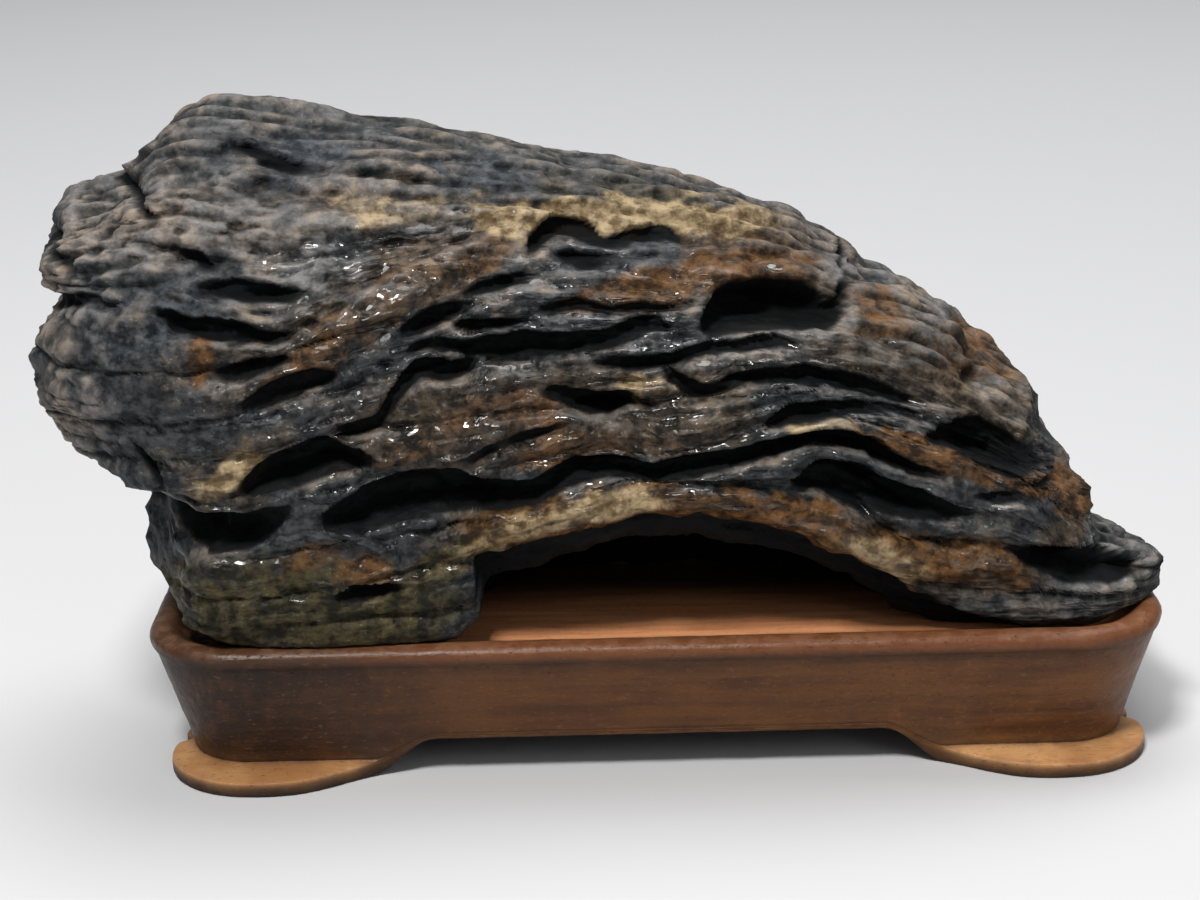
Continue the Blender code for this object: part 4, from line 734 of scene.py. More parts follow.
def rock_relief(point, normal):
    """How far the forms move each point out, the way they move it, and the depth of its gap."""
    x, y, z = np.moveaxis(point, -1, 0)
    facing = -normal[..., 1]
    steep = smooth_step(0.85, 0.35, normal[..., 2])
    in_front = smooth_step(16.0, 8.0, y - curve(FRONT, x) - HIGH_REACH * np.maximum(z - 88, 0))
    front = smooth_step(-0.25, 0.15, facing) * np.maximum(in_front, smooth_step(-120, -135, x))
    back = smooth_step(0.1, 0.5, -facing)
    lumps = forms(WIDE_LUMPS, x, y, z) + forms(SMALL_LUMPS, x, y, z, 9.0)
    beds = sum(bed_relief(x, y, z, *bed_set) for bed_set in BED_SETS)
    relief = lumps + beds * (0.35 + 0.65 * steep) + forms(TOP_GROOVES, x, y, z, 40.0) * (1 - steep)
    ragged = forms(WIDE_RAGGED, x, y, z, 21.0) + forms(SMALL_RAGGED, x, y, z, 3.0)
    at_x, at_z = x + GAP_WARP * ragged, z + ragged
    gaps = line_relief(FRONT_GAPS, at_x, at_z, GAP_OVERHANG) * front
    gaps = gaps + line_relief(BACK_GAPS, at_x, at_z, GAP_OVERHANG) * back
    relief = relief + line_relief(FRONT_RIBS, at_x, at_z, 0.0) * front - gaps
    relief = relief * smooth_step(*SEAT_FADE, z - seat_height(x, y))
    return relief, unit(normal * np.array([1.0, 1.0, FLAT_WAY])), gaps


def surface_angles(column, rows):
    """Ray angles of each column, closer where beds and gaps make the surface longer."""
    trial = np.linspace(-np.pi, np.pi, TRIAL_ANGLES)
    start, way = ray_lines(column[:, None], trial[None, :])
    base = meet_surface(start, way)
    relief, direction, _ = rock_relief(base, base_normals(base))
    point = base + relief[..., None] * direction
    step = np.linalg.norm(np.diff(base, axis=1), axis=2)
    step += RELIEF_SHARE * np.linalg.norm(np.diff(point, axis=1), axis=2)
    middle = (trial[1:] + trial[:-1]) / 2
    share = BACK_SHARE + FRONT_SHARE * smooth_step(*SHARE_ANGLES, np.abs(middle - SHARE_MIDDLE))
    below = smooth_step(-0.75, -1.1, middle) * smooth_step(-2.6, -2.2, middle)
    share = share * (1 - FLOOR_SAVING * below)
    length = np.concatenate([np.zeros((len(column), 1)), np.cumsum(step * share, axis=1)], axis=1)
    wanted = np.linspace(0, 1, rows, endpoint=False)
    angles = [np.interp(wanted, row / row[-1], trial) for row in length]
    return soften(np.array(angles), ANGLE_PASSES)


def band_mask(bands, x, z):
    """How strongly listed bands cover each point of the front."""
    mask = np.zeros(np.shape(x))
    for knots in bands:
        first, last = knots[0][0], knots[-1][0]
        half = np.maximum(curve(knots, x, 2), BAND_THINNEST)
        cover = smooth_step(*BAND_EDGE, np.abs(z - curve(knots, x)) / half)
        ends = smooth_step(first - BAND_END, first + BAND_END, x)
        ends = ends * smooth_step(last + BAND_END, last - BAND_END, x)
        mask = np.maximum(mask, curve(knots, x, 3) * cover * ends)
    return mask


def centred(values):
    """Values moved so that they are as often below zero as above it."""
    return values - values.mean()


def ledge_relief(x, y, level, thickness, seed):
    """Broken ledges whose upper edges stand out, each only along some of its length."""
    level = level + 1.5 * noise(x / 23, y / 23, level / 9 + seed) + 0.7 * noise(x / 9, y / 9, level / 5)
    level = level + 0.3 * noise(x / 3.2, y / 3.2, level / 2 + seed)
    layer = np.floor(level / thickness)
    place = level / thickness - layer
    stand = noise(x / 15, y / 15 + seed, layer * 7.3)
    present = smooth_step(-0.3, 0.2, noise(x / 20, y / 20 + 2 * seed, layer * 3.1))
    shape = smooth_step(0.0, 0.75, place) * smooth_step(1.0, 0.84, place)
    return thickness * (0.2 * stand + 0.4 * (shape - 0.5) * present)


def fine_relief(x, y, z, normal):
    """Thin ledges, knobs, furrows and crumbs that the solid is too coarse to carry."""
    steep = smooth_step(0.9, 0.45, normal[..., 2])
    end = np.maximum(smooth_step(-108, -138, x), smooth_step(116, 126, x))
    level = bed_height(x, z + BED_DIP * y)
    ledges = sum(ledge_relief(x, y, level, *ledge_set) for ledge_set in LEDGE_SETS)
    layered = np.clip(0.25 + band_mask(LEDGE_BANDS, x, z), 0, 1)
    layered = layered * (1 - 0.8 * smooth_step(62, 54, z) * smooth_step(-40, -50, x))
    knobs = forms(WIDE_KNOBS, x, y, z, 5.0) + forms(SMALL_KNOBS, x, y, z, 13.0)
    facets = np.abs(forms(WIDE_FACETS, x, y, z, 5.0)) + np.abs(forms(SMALL_FACETS, x, y, z))
    furrows = np.abs(forms(WIDE_FURROWS, x, y, z, 11.0)) + np.abs(forms(SMALL_FURROWS, x, y, z))
    furrows = FURROW_HEIGHT * centred(furrows) - FURROW_SINK
    return (
        ledges * layered * steep * (1 - end) + knobs * (0.15 + 0.85 * steep)
        + FACET_HEIGHT * centred(facets) * (0.25 + 0.75 * end) + furrows * (1 - steep)
        + forms(CRUMBS, x, y, z, 7.0) * (0.4 + 0.6 * steep)
    )


def pit_relief(point):
    """Depth of small corroded pits, most of them on the left end and along the top."""
    generator = np.random.default_rng(PIT_SEED)
    columns, rows = point.shape[:2]
    depth = np.zeros((columns, rows))
    for _ in range(PIT_COUNT):
        column = int(columns * (0.03 + 0.62 * generator.random() ** 1.5))
        row = int(rows * (0.5 + 0.3 * generator.random()))
        radius, deep = generator.uniform(*PIT_RADII), generator.uniform(*PIT_DEPTHS)
        near = slice(max(column - PIT_REACH, 0), column + PIT_REACH)
        away = point[near] - point[column, row]
        away = np.linalg.norm(away * np.array([0.6, 0.8, 1.3]), axis=2)
        depth[near] = np.maximum(depth[near], deep * smooth_step(radius, 0.3 * radius, away))
    return depth


def rock_surface():
    """The rock's surface as a grid of points, its two end points, and its stone marks."""
    column = np.linspace(0, 1, ROCK_COLUMNS + 2)[1:-1]
    start, way = ray_lines(column[:, None], surface_angles(column, ROCK_ROWS))
    base = meet_surface(start, way)
    normal = base_normals(base)
    relief, direction, gaps = rock_relief(base, normal)
    x, y, z = np.moveaxis(base, -1, 0)
    fine = fine_relief(x, y, z, normal) - pit_relief(base)
    fine = fine * smooth_step(0.4, 3.0, z - seat_height(x, y))
    point = base + (relief + fine)[..., None] * direction
    point[..., 2] = np.maximum(point[..., 2], seat_height(point[..., 0], point[..., 1]))
    ends = np.array([point[0].mean(axis=0), point[-1].mean(axis=0)])
    return point, ends, stone_marks(base, point, relief + fine, gaps)


def stone_marks(base, point, relief, gaps):
    """Painted shade of hollows, wet, stains, and pale dust with painted top light, for the material."""
    x, y, z = np.moveaxis(base, -1, 0)
    facing = base_normals(point)
    up = np.clip(facing[..., 2], 0, 1)
    # Painted shade: darker in gaps, in hollows below the smoothed surface and under the arch's lip.
    blurred = soften(soften(relief, 18), 18, along=1)
    sunk = np.clip((blurred - relief) / 2.6, 0, 1)
    depth = y - curve(FRONT, x)
    below_lip = z - curve(ARCH_LIP, x)
    inside = smooth_step(*ARCH_SHADE_DEPTHS, depth) * smooth_step(3.0, -1.0, below_lip)
    inside = inside * smooth_step(-53, -47, x) * smooth_step(0.5, 0.1, facing[..., 1])
    rim = smooth_step(7, 11, depth) * smooth_step(18, 14, depth) * smooth_step(-13, -9, below_lip)
    hollow = smooth_step(0.6, 3.6, gaps) + 0.35 * sunk + inside * (1 - 0.2 * rim)
    ridge = smooth_step(-0.7, 0.7, (relief - blurred) / 1.2)
    wide = noise(x / 9, y / 9, z / 9 + 2)
    tall = noise(x / 8 + 5, y / 8, z / 6)
    small = noise(x / 3.1, y / 3.1 + 5, z / 2.6)
    at_x = x + 3.4 * wide + 1.4 * small
    at_z = z + 2.2 * tall + 1.2 * small
    shown = smooth_step(62, 52, depth) * smooth_step(-0.35, 0.05, -facing[..., 1])
    shown = np.maximum(shown, smooth_step(-125, -140, x))
    marks = []
    all_bands = (RUST_BANDS, OCHRE_BANDS, MOSS_BANDS, BLUE_BANDS, PALE_BANDS, WARM_BANDS)
    for number, bands in enumerate(all_bands):
        far = noise(x / 44, y / 44 + 17 * number, z / 17) + 0.3 * tall
        far = smooth_step(0.1, 0.8, far) * (1 - shown) * (1 - 0.6 * up)
        marks.append(np.maximum(band_mask(bands, at_x, at_z) * shown, 0.7 * far))
    rust, ochre, moss, blue, pale, warm = marks
    wet = np.maximum(band_mask(WET_BANDS, x, z) * shown, 0.4 * (1 - shown) * (1 - up))
    # Painted top light with pale dust: the pale mark grows where the surface faces up, mostly on ridges.
    pale = np.clip(pale + 0.7 * smooth_step(0.25, 0.9, up), 0, 1) * (0.2 + 0.8 * ridge)
    level = bed_height(x, z + BED_DIP * y)
    return {
        "stain_a": np.stack([rust, ochre, moss], axis=-1),
        "stain_b": np.stack([blue, pale, wet], axis=-1),
        "form": np.stack([level / 100, np.clip(hollow, 0, 1), warm], axis=-1),
    }


class Shading:
    """Short hand for building the nodes of one material."""

    def __init__(self, name):
        self.material = bpy.data.materials.new(name)
        self.material.use_nodes = True
        self.tree = self.material.node_tree
        self.shader = self.tree.nodes["Principled BSDF"]

    def put(self, socket, value):
        """Link a socket, or set it."""
        if isinstance(value, bpy.types.NodeSocket):
            self.tree.links.new(value, socket)
        elif isinstance(value, tuple) and socket.type == "RGBA":
            socket.default_value = (*value, 1.0)
        else:
            socket.default_value = value

    def node(self, kind, inputs, **settings):
        """Add a node, change its settings and fill its inputs."""
        node = self.tree.nodes.new("ShaderNode" + kind)
        for key, value in settings.items():
            setattr(node, key, value)
        for key, value in inputs.items():
            self.put(node.inputs[key], value)
        return node

    def math(self, operation, a, b=0.0):
        """One sum of two values."""
        return self.node("Math", {0: a, 1: b}, operation=operation).outputs[0]

    def times(self, a, b):
        """Two values multiplied."""
        return self.math("MULTIPLY", a, b)

    def plus(self, a, b):
        """Two values added."""
        return self.math("ADD", a, b)

    def mix(self, share, a, b):
        """One colour over another."""
        return self.node("Mix", {0: share, 6: a, 7: b}, data_type="RGBA").outputs[2]

    def span(self, value, low, high, start=0.0, end=1.0):
        """Move a value from one range to another without a corner."""
        inputs = {"Value": value, "From Min": low, "From Max": high, "To Min": start, "To Max": end}
        return self.node("MapRange", inputs, interpolation_type="SMOOTHSTEP").outputs[0]

    def noise(self, place, scale, detail, roughness):
        """Soft random values."""
        inputs = {"Vector": place, "Scale": scale, "Detail": detail, "Roughness": roughness}
        return self.node("TexNoise", inputs).outputs[0]

    def split(self, name):
        """The three values of one attribute."""
        vector = self.node("Attribute", {}, attribute_name=name).outputs["Vector"]
        return self.node("SeparateXYZ", {0: vector}).outputs

    def stretched(self, place, scale):
        """Coordinates with each axis at its own scale."""
        inputs = {0: place, 1: scale}
        return self.node("VectorMath", inputs, operation="MULTIPLY").outputs[0]

    def drawn_out(self, place, scales, detail, roughness):
        """Soft random values with each axis at its own scale."""
        return self.noise(self.stretched(place, scales), 1.0, detail, roughness)

    def bump(self, height, distance, normal=None):
        """Surface detail of a height in metres."""
        inputs = {"Height": height, "Distance": distance, "Strength": 1.0}
        if normal is not None:
            inputs["Normal"] = normal
        return self.node("Bump", inputs).outputs[0]

    def finished(self, inputs):
        """The material, with the inputs of its shader filled."""
        for key, value in inputs.items():
            self.put(self.shader.inputs[key], value)
        return self.material


def stone_material():
    """Dark layered stone with rust, ochre, moss and blue-grey in it, wet-looking on its front."""
    s = Shading("layered_stone")
    place = s.node("TexCoord", {}).outputs["Object"]
    rust, ochre, moss = s.split("stain_a")
    blue, pale, wet = s.split("stain_b")
    level, hollow, warm = s.split("form")
    apart = s.node("SeparateXYZ", {0: place}).outputs
    along = s.node("CombineXYZ", {0: apart[0], 1: s.times(level, 0.1), 2: apart[1]})
    along = along.outputs[0]
    vein = s.drawn_out(along, *STONE_VEIN)
    blotch = s.noise(place, *STONE_BLOTCH)
    patch = s.noise(place, *STONE_PATCH)
    mottle = s.noise(place, *STONE_MOTTLE)
    grain = s.noise(place, *STONE_GRAIN)
    warp = s.stretched(s.noise(place, CHIP_WARP_SCALE, 2.0, 0.6), CHIP_WARP)
    warped = s.node("VectorMath", {0: along, 1: warp}, operation="ADD").outputs[0]
    chip = s.node("TexVoronoi", {"Vector": s.stretched(warped, CHIP_SCALE), "Scale": 1.0})
    chip = chip.outputs["Distance"]
    tone = s.plus(s.times(patch, 0.72), s.times(mottle, 0.28))
    tone = s.span(tone, 0.4, 0.6)
    cool = s.mix(tone, SLATE_DARK, SLATE_COOL)
    brown = s.mix(tone, BROWN_DARK, BROWN_LIGHT)
    edge = s.plus(s.times(blotch, 0.9), s.times(patch, 0.6))
    edge = s.math("SUBTRACT", edge, 0.75)
    brownish = s.span(s.plus(warm, s.times(edge, 1.6)), 0.0, 0.9)
    colour = s.mix(brownish, cool, brown)
    # Pale dust colour, partly painted top light, laid where the pale mark is.
    wanted = s.plus(pale, s.times(edge, 0.7))
    dust_and_top_light = s.mix(s.span(blotch, 0.4, 0.62), SLATE_LIGHT, SLATE_BEIGE)
    dust_and_top_light = s.mix(s.span(patch, 0.62, 0.36, 0.0, 0.7), dust_and_top_light, SLATE_COOL)
    colour = s.mix(s.times(s.span(wanted, 0.1, 1.0), 0.85), colour, dust_and_top_light)
    for stain, deep, bright, strength in (
        (blue, BLUE_DEEP, BLUE_BRIGHT, 0.75), (moss, MOSS_DEEP, MOSS_BRIGHT, 0.8),
        (rust, RUST_DEEP, RUST_BRIGHT, 0.9), (ochre, OCHRE_DEEP, OCHRE_BRIGHT, 0.9),
    ):
        broken = s.span(s.plus(stain, edge), 0.05, 0.9)
        colour = s.mix(s.times(broken, strength), colour, s.mix(tone, deep, bright))
    dark_vein = s.times(s.span(vein, 0.44, 0.32), s.span(blotch, 0.45, 0.6))
    colour = s.mix(s.times(dark_vein, 0.7), colour, SLATE_BLACK)
    # Pale specks, partly mineral and partly painted glints.
    flecks_and_glints = s.span(s.plus(grain, s.times(patch, 0.5)), 0.93, 1.0)
    colour = s.mix(s.times(flecks_and_glints, 0.3), colour, FLECK_AND_GLINT)
    # Painted shade: near black in the gaps, the hollows and under the arch.
    colour = s.mix(s.span(hollow, 0.0, 0.85, 0.0, 0.985), colour, SLATE_BLACK)
    steps = s.plus(s.times(level, RIM_COUNT), s.times(s.noise(place, *WIDE_WANDER), 2.4))
    steps = s.plus(steps, s.times(s.noise(place, *SMALL_WANDER), 0.7))
    steps = s.math("FRACT", steps)
    drop = s.math("DIVIDE", s.math("SUBTRACT", 1.0, steps), RIM_SHARE)
    ledge = s.math("MINIMUM", s.math("DIVIDE", steps, 1 - RIM_SHARE), drop)
    here = s.times(wet, s.span(s.noise(place, *WET_PLACES), 0.4, 0.52))
    here = s.times(here, s.span(hollow, 0.75, 0.25))
    shine = s.times(here, s.span(steps, 0.96 - RIM_SHARE, 1 - RIM_SHARE))
    roughness = s.plus(s.times(mottle, 0.16), s.span(wet, 0.0, 1.0, 0.5, 0.3))
    roughness = s.math("SUBTRACT", roughness, s.times(shine, 0.3))
    roughness = s.plus(roughness, s.times(hollow, 0.35))
    film = s.plus(s.times(shine, 0.8), s.times(here, 0.2))
    normal = s.bump(s.times(ledge, here), RIM_RISE)
    normal = s.bump(s.times(chip, -1.0), CHIP_DEPTH, normal)
    normal = s.bump(s.noise(place, *STONE_SWELL), SWELL_HEIGHT, normal)
    normal = s.bump(mottle, MOTTLE_HEIGHT, normal)
    normal = s.bump(grain, GRAIN_HEIGHT, normal)
    return s.finished({
        "Base Color": colour, "Roughness": roughness, "Specular IOR Level": STONE_SPECULAR,
        "Coat Weight": film, "Coat Roughness": WET_ROUGHNESS, "Normal": normal,
    })


def lip_stations():
    """Points of the lip's outline with outward directions and the place along a quarter."""
    straight = STAND_LENGTH / 2 - LIP_CORNER_RADIUS
    short = STAND_DEPTH / 2 - LIP_CORNER_RADIUS
    wall_radius = LIP_CORNER_RADIUS - WALL_FOOT_INSET
    quarter = []
    for x in np.linspace(0, straight, STRAIGHT_STATIONS, endpoint=False):
        quarter.append(((x, -STAND_DEPTH / 2), (0.0, -1.0), x))
    for turn in np.linspace(0, np.pi / 2, CORNER_STATIONS, endpoint=False):
        out = (np.sin(turn), -np.cos(turn))
        place = (straight + LIP_CORNER_RADIUS * out[0], -short + LIP_CORNER_RADIUS * out[1])
        quarter.append((place, out, straight + wall_radius * turn))
    corner_end = straight + wall_radius * np.pi / 2
    for y in np.linspace(-short, 0, SHORT_STATIONS, endpoint=False):
        quarter.append(((STAND_LENGTH / 2, y), (1.0, 0.0), corner_end + short + y))
    quarter.append(((STAND_LENGTH / 2, 0.0), (1.0, 0.0), corner_end + short))
    right = quarter + [((x, -y), (a, -b), s) for (x, y), (a, b), s in quarter[-2::-1]]
    return right + [((-x, y), (-a, b), s) for (x, y), (a, b), s in right[-2:0:-1]]


def smoothed_profile(values, passes):
    """Cut the corners of each station's profile, whose rows are points along it."""
    for _ in range(passes):
        near = 0.75 * values[:, :-1] + 0.25 * values[:, 1:]
        far = 0.25 * values[:, :-1] + 0.75 * values[:, 1:]
        inner = np.stack([near, far], axis=2).reshape(len(values), -1, values.shape[2])
        values = np.concatenate([values[:, :1], inner, values[:, -1:]], axis=1)
    return values


def stand_profile(place, flare):
    """One section of the stand, with the tone of its wood at each point.

    Each row is an inset from the lip's edge, a height, and how much the point belongs to the
    floor, the lip with its painted highlight, the foot's flange, painted shade of creases and the
    underside, and edge wear with a painted highlight.
    """
    rise = 1 - smooth_step(*LONG_ARCH, place) * smooth_step(*SHORT_ARCH, place)
    bottom = APRON_HEIGHT * rise
    wall_end = bottom + FOOT_TOP - (FOOT_TOP - FOOT_THICKNESS) * rise
    inside = FOOT_SPREAD[0][0] < place < FOOT_SPREAD[-1][0]
    spread = float(curve(FOOT_SPREAD, place)) if inside else 0.0
    flat = min(spread / 4, 1.0)
    rows = [
        (14.6, 34.45, 1, 0, 0, 0.1, 0), (13.4, 34.5, 1, 0, 0, 0.5, 0), (11.4, 34.65, 0.8, 0.2, 0, 1, 0),
        (9.0, 35.4, 0.2, 0.8, 0, 0.6, 0), (7.4, 36.8, 0, 1, 0, 0.1, 0.2), (5.8, 37.75, 0, 1, 0, 0, 0.6),
        (3.6, 38.0, 0, 1, 0, 0, 1), (1.5, 37.65, 0, 1, 0, 0, 0.8), (0.2, 36.4, 0, 1, 0, 0, 0.4),
        (0.0, 35.0, 0, 0.8, 0, 0, 0.1), (0.35, 33.7, 0, 0.4, 0, 0.4, 0), (1.1, 32.8, 0, 0, 0, 0.8, 0),
        (1.5, 32.2, 0, 0, 0, 0.3, 0),
    ]
    height = rows[-1][1]
    foot = flare * WALL_FOOT_INSET
    for part in (0.22, 0.45, 0.7, 0.9):
        lean = WALL_TOP_INSET + (foot - WALL_TOP_INSET) * part**0.9
        rows.append((lean, height + (wall_end - height) * part, 0, 0, 0, 0, 0))
    edge = foot + 0.15 - spread
    inner = INNER_WALL_INSET
    return rows + [
        (foot - 0.25, wall_end + 0.5, 0, 0, 0.3 * flat, 1.0 * flat, 0),
        (foot + 0.05, wall_end + 0.05, 0, 0, flat, 1.0 * flat + 0.5 * (1 - flat), 0),
        (foot - 0.12 * spread, wall_end - 0.25, 0, 0, flat, 0.3 * flat, 0),
        (foot - 0.6 * spread, wall_end - 0.45, 0, 0, flat, 0, 0),
        (edge + 0.35 * flat, wall_end - 0.62, 0, 0, flat, 0, flat),
        (edge, wall_end - 0.95, 0, 0, flat, 0, flat),
        (edge - 0.1, wall_end - 1.5 - 0.4 * flat, 0, 0, 0.4 * flat, 0.5, 0),
        (edge - 0.1, bottom + 0.45, 0, 0, 0, 1, 0),
        (edge + 0.25, bottom + 0.08, 0, 0, 0, 1, 0),
        (edge + 1.0, bottom, 0, 0, 0, 1, 0),
        (inner - 1.0, bottom, 0, 0, 0, 1, 0),
        (inner - 0.5, bottom + 0.2, 0, 0, 0, 1, 0),
        (inner - 0.2, bottom + 1.5, 0, 0, 0, 1, 0),
        (inner + 0.3, PANEL_HEIGHT - 1.2, 0, 0, 0, 1, 0),
        (inner + 0.5, PANEL_HEIGHT - 0.2, 0, 0, 0, 1, 0),
        (inner + 1.5, PANEL_HEIGHT, 0, 0, 0, 1, 0),
    ]


def stand_surface():
    """The stand's surface as stations by points, with the tone of each point's wood."""
    outline, profiles = [], []
    for (x, y), out, place in lip_stations():
        flare = 1 + (SIDE_FLARE - 1) * abs(out[0])
        outline.append((x, y, *out))
        profiles.append(stand_profile(place, flare))
    outline = np.array(outline)
    profile = smoothed_profile(np.array(profiles), 2)
    inset, height = profile[..., 0], profile[..., 1]
    x = outline[:, None, 0] - outline[:, None, 2] * inset
    y = outline[:, None, 1] - outline[:, None, 3] * inset
    point = np.stack([x, y, height], axis=-1)
    tone = profile[..., 2:]
    middle = np.stack([
        np.clip(x[:, 0], -CENTRE_REACH, CENTRE_REACH), 0 * x[:, 0], np.full(len(x), FLOOR_HEIGHT - 0.45)
    ], axis=-1)
    shares = np.linspace(1, 0, FLOOR_RINGS, endpoint=False)[:, None, None]
    rings = point[:, 0] + (middle - point[:, 0]) * np.maximum(shares, 0)
    floor_tone = np.repeat(tone[None, :, 0], FLOOR_RINGS, axis=0)
    point = np.concatenate([rings.transpose(1, 0, 2), point], axis=1)
    tone = np.concatenate([floor_tone.transpose(1, 0, 2), tone], axis=1)
    under = point[:, -1]
    middle = np.stack([middle[:, 0], middle[:, 1], np.full(len(x), PANEL_HEIGHT + 0.3)], axis=-1)
    shares = np.linspace(0, 1, FLOOR_RINGS + 1)[1:, None, None]
    rings = under + (middle - under) * shares
    point = np.concatenate([point, rings.transpose(1, 0, 2)], axis=1)
    tone = np.concatenate([tone, np.repeat(tone[:, -1:], FLOOR_RINGS, axis=1)], axis=1)
    return carve(point), tone


def carve(point):
    """The slight unevenness of hand carving, with a few dents along the lip."""
    x, y, z = np.moveaxis(point, -1, 0)
    wave = 0.28 * noise(x / 16, y / 16, z / 10 + 60) + 0.12 * noise(x / 5, y / 5, z / 4 + 80)
    generator = np.random.default_rng(DENT_SEED)
    for _ in range(DENT_COUNT):
        station = int(generator.integers(len(point)))
        step = int(generator.integers(FLOOR_RINGS + 12, FLOOR_RINGS + 60))
        away = np.linalg.norm(point - point[station, step], axis=2)
        deep, radius = generator.uniform(*DENT_DEPTHS), generator.uniform(*DENT_RADII)
        wave -= deep * smooth_step(radius, 0.2, away)
    kept = smooth_step(0.0, 1.5, z) * smooth_step(STAND_HEIGHT + 0.3, STAND_HEIGHT - 0.6, z)
    along, down = np.gradient(point, axis=0), np.gradient(point, axis=1)
    normal = unit(np.cross(down, along))
    return point - normal * (np.abs(wave) * (0.35 + 0.65 * kept))[..., None] * kept[..., None]


def wood_material():
    """Reddish brown hardwood with long grain, fine pores, an old oiled finish, and painted light and shade.
    """
    s = Shading("carved_hardwood")
    place = s.node("TexCoord", {}).outputs["Object"]
    floor, lip, flange = s.split("wood_a")
    crease_shade, wear_and_highlight, left_shade = s.split("wood_b")
    grain = s.drawn_out(place, *WOOD_GRAIN)
    fibre = s.drawn_out(place, *WOOD_FIBRE)
    fleck = s.drawn_out(place, *WOOD_FLECK)
    blotch = s.noise(place, *WOOD_BLOTCH)
    dirt = s.noise(place, *WOOD_DIRT)
    shade = s.plus(s.times(grain, 0.7), s.times(blotch, 0.3))
    colour = s.mix(s.span(shade, 0.36, 0.6), WOOD_DARK, WOOD_RED)
    colour = s.mix(s.times(s.span(blotch, 0.42, 0.66), 0.5), colour, WOOD_WARM)
    # The lip's pinker tone, partly a painted highlight.
    colour = s.mix(s.times(lip, s.span(blotch, 0.3, 0.6, 0.45, 0.95)), colour, LIP_TONE_AND_HIGHLIGHT)
    floor_tone = s.mix(s.span(grain, 0.38, 0.62), FLOOR_DEEP, FLOOR_ORANGE)
    # Painted shadow, partly dirt: the tray floor darkens towards its back, under the arch.
    far = s.span(s.node("SeparateXYZ", {0: place}).outputs[1], *SHADED_FLOOR, 0.0, 0.95)
    floor_tone = s.mix(far, floor_tone, SHADE_DARK)
    colour = s.mix(s.times(floor, 0.95), colour, floor_tone)
    flange_tone = s.mix(s.span(blotch, 0.35, 0.65), FLANGE_DEEP, FLANGE_TAN)
    # Painted shade: the flange and all the wood darker towards the left.
    flange_tone = s.mix(s.times(left_shade, 0.4), flange_tone, WOOD_WARM)
    colour = s.mix(s.times(left_shade, s.span(dirt, 0.3, 0.6, 0.6, 1.0)), colour, WOOD_LEFT_SHADE)
    colour = s.mix(s.times(flange, 0.95), colour, flange_tone)
    # Wear with a painted highlight: lighter along the lip's top and the foot's outer edge.
    rubbed_and_highlight = s.times(wear_and_highlight, s.span(dirt, 0.4, 0.62, 0.1, 0.5))
    colour = s.mix(rubbed_and_highlight, colour, WOOD_PALE)
    colour = s.mix(s.times(s.span(fibre, 0.48, 0.3), 0.18), colour, WOOD_DARK)
    colour = s.mix(s.times(s.span(fleck, 0.6, 0.72), 0.22), colour, WOOD_PALE)
    dark_pore = s.span(fleck, 0.36, 0.28)
    colour = s.mix(s.times(dark_pore, 0.3), colour, PORE)
    # Painted shade in the creases by the lip, at the foot of the wall and underneath.
    painted_shade = s.times(crease_shade, s.span(dirt, 0.3, 0.7, 0.7, 1.0))
    colour = s.mix(s.times(painted_shade, 0.85), colour, SHADE_DARK)
    roughness = s.plus(s.times(dirt, 0.3), s.span(grain, 0.3, 0.7, 0.3, 0.22))
    roughness = s.plus(roughness, s.times(crease_shade, 0.2))
    normal = s.bump(s.times(dark_pore, -1.0), PORE_DEPTH)
    normal = s.bump(dirt, WOOD_RISE, s.bump(grain, WOOD_RISE, normal))
    return s.finished({
        "Base Color": colour, "Roughness": roughness, "Specular IOR Level": WOOD_SPECULAR,
        "Normal": normal,
    })


def placed(name, data):
    """A new object of the scene."""
    made = bpy.data.objects.new(name, data)
    bpy.context.scene.collection.objects.link(made)
    return made


def finished_mesh(name, vertices, faces, marks, material):
    """A smooth-shaded mesh in the frame's own metres, with its marks and its material."""
    mesh = bpy.data.meshes.new(name)
    mesh.from_pydata([tuple(v) for v in (vertices + STAND_MIDDLE) * MM], [], faces)
    for key, values in marks.items():
        attribute = mesh.attributes.new(key, "FLOAT_VECTOR", "POINT")
        attribute.data.foreach_set("vector", values.astype(np.float32).ravel())
    mesh.materials.append(material)
    mesh.shade_smooth()
    return placed(name, mesh)


def add_rock():
    """The stone, as one closed skin."""
    point, ends, marks = rock_surface()
    columns, rows = point.shape[:2]
    index = np.arange(columns * rows).reshape(columns, rows)
    beside = np.roll(index, -1, axis=1)
    quads = np.stack([index[:-1], index[1:], beside[1:], beside[:-1]], axis=-1).reshape(-1, 4)
    first, last = columns * rows, columns * rows + 1
    faces = quads.tolist()
    faces += [(first, int(a), int(b)) for a, b in zip(index[0], beside[0])]
    faces += [(last, int(b), int(a)) for a, b in zip(index[-1], beside[-1])]
    for key, values in marks.items():
        tips = [values[0].mean(axis=0), values[-1].mean(axis=0)]
        marks[key] = np.concatenate([values.reshape(-1, 3), tips])
    vertices = np.concatenate([point.reshape(-1, 3), ends])
    return finished_mesh("layered_rock", vertices, faces, marks, stone_material())


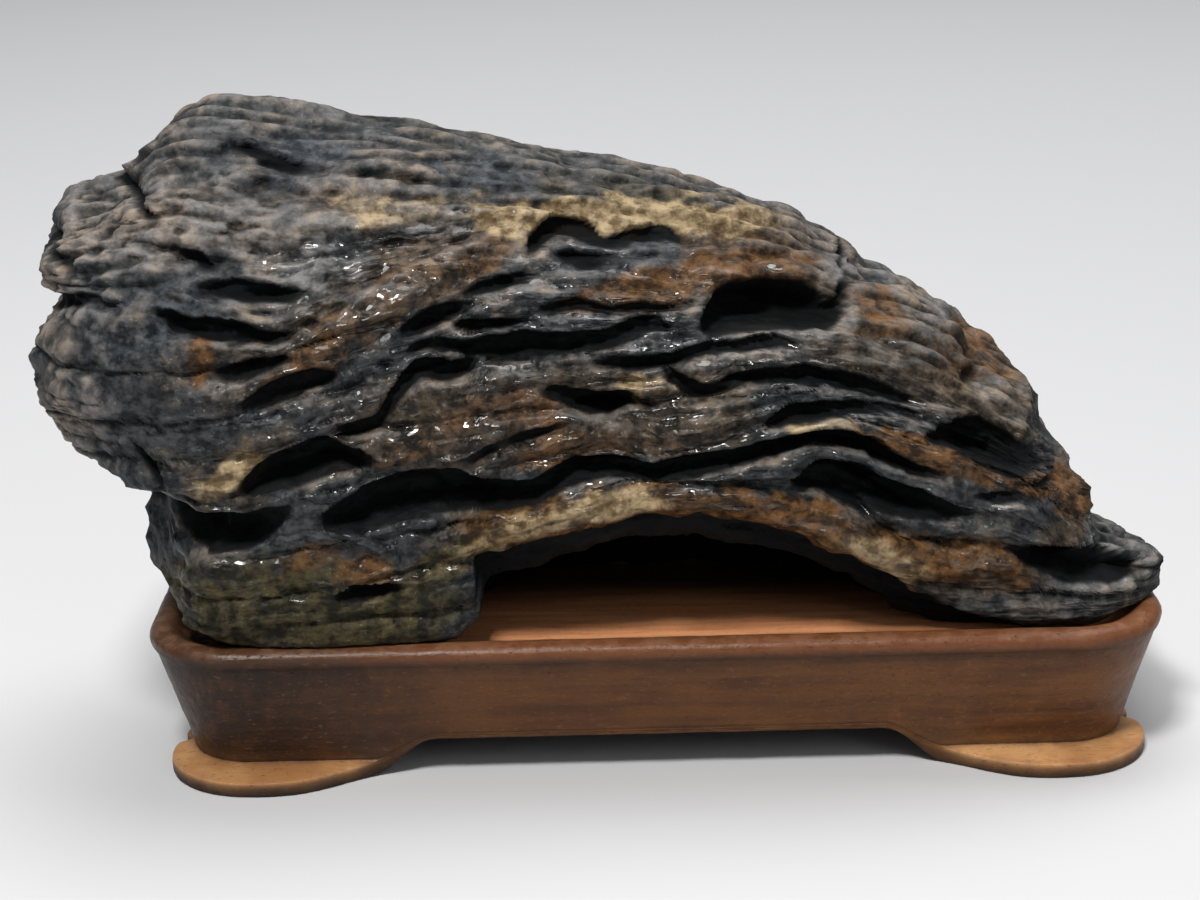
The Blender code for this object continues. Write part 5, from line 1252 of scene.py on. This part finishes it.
def add_stand():
    """The stand, carved from one block."""
    point, tone = stand_surface()
    stations, steps = point.shape[:2]
    index = np.arange(stations * steps).reshape(stations, steps)
    beside = np.roll(index, -1, axis=0)
    quads = np.stack([index[:, :-1], index[:, 1:], beside[:, 1:], beside[:, :-1]], axis=-1)
    x, z = point[..., 0], point[..., 2]
    # Painted shade: darker towards the left end of the stand.
    left_shade = smooth_step(-25, -105, x + 8 * noise(x / 20, z / 9, z / 9))
    marks = {"wood_a": tone[..., :3], "wood_b": np.stack([tone[..., 3], tone[..., 4], left_shade], axis=-1)}
    marks = {key: values.reshape(-1, 3) for key, values in marks.items()}
    faces = quads.reshape(-1, 4).tolist()
    piece = finished_mesh("carved_stand", point.reshape(-1, 3), faces, marks, wood_material())
    form = bmesh.new()
    form.from_mesh(piece.data)
    bmesh.ops.remove_doubles(form, verts=form.verts, dist=MERGE_DISTANCE)
    form.to_mesh(piece.data)
    form.free()
    return piece


def add_floor():
    """A plain pale surface under everything."""
    mesh = bpy.data.meshes.new("floor")
    corners = [(-1, -1), (1, -1), (1, 1), (-1, 1)]
    mesh.from_pydata([(x * FLOOR_REACH, y * FLOOR_REACH, 0) for x, y in corners], [], [(0, 1, 2, 3)])
    s = Shading("pale_floor")
    mesh.materials.append(s.finished({"Base Color": FLOOR_COLOUR, "Roughness": FLOOR_ROUGHNESS}))
    floor = placed("floor", mesh)


def add_light(name, place, target, size, power, colour):
    """A rectangular lamp that faces a point of the scene."""
    lamp = bpy.data.lights.new(name, "AREA")
    lamp.shape = "RECTANGLE"
    lamp.size, lamp.size_y = size
    lamp.energy, lamp.color = power, colour
    holder = placed(name, lamp)
    holder.location = place
    way = Vector(target) - Vector(place)
    holder.rotation_euler = way.to_track_quat("-Z", "Y").to_euler()


def add_lights():
    """A small key from the upper left front, a weak fill, a wide top lamp, and a pale surrounding."""
    for light in LIGHTS:
        add_light(*light)
    world = bpy.data.worlds.new("soft_room")
    world.use_nodes = True
    background = world.node_tree.nodes["Background"]
    background.inputs["Color"].default_value = (*WORLD_COLOUR, 1.0)
    background.inputs["Strength"].default_value = WORLD_STRENGTH
    bpy.context.scene.world = world


def add_camera():
    """The camera at the photograph's own place and angle."""
    lens = bpy.data.cameras.new("camera")
    lens.lens = CAMERA_LENS
    lens.sensor_fit = "HORIZONTAL"
    lens.sensor_width = CAMERA_SENSOR
    camera = placed("camera", lens)
    turn = Matrix.Rotation(math.pi / 2 - CAMERA_PITCH, 4, "X") @ Matrix.Rotation(-CAMERA_ROLL, 4, "Z")
    place = (np.array(CAMERA_PLACE) + STAND_MIDDLE) * MM
    camera.matrix_world = Matrix.Translation(place) @ turn
    bpy.context.scene.camera = camera


bpy.context.scene.view_settings.view_transform = "Standard"
add_camera()
add_lights()
add_floor()
for piece, node, finish in ((add_rock(), "rock", "stone"), (add_stand(), "stand", "wood")):
    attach(piece, "root")
    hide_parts(node)
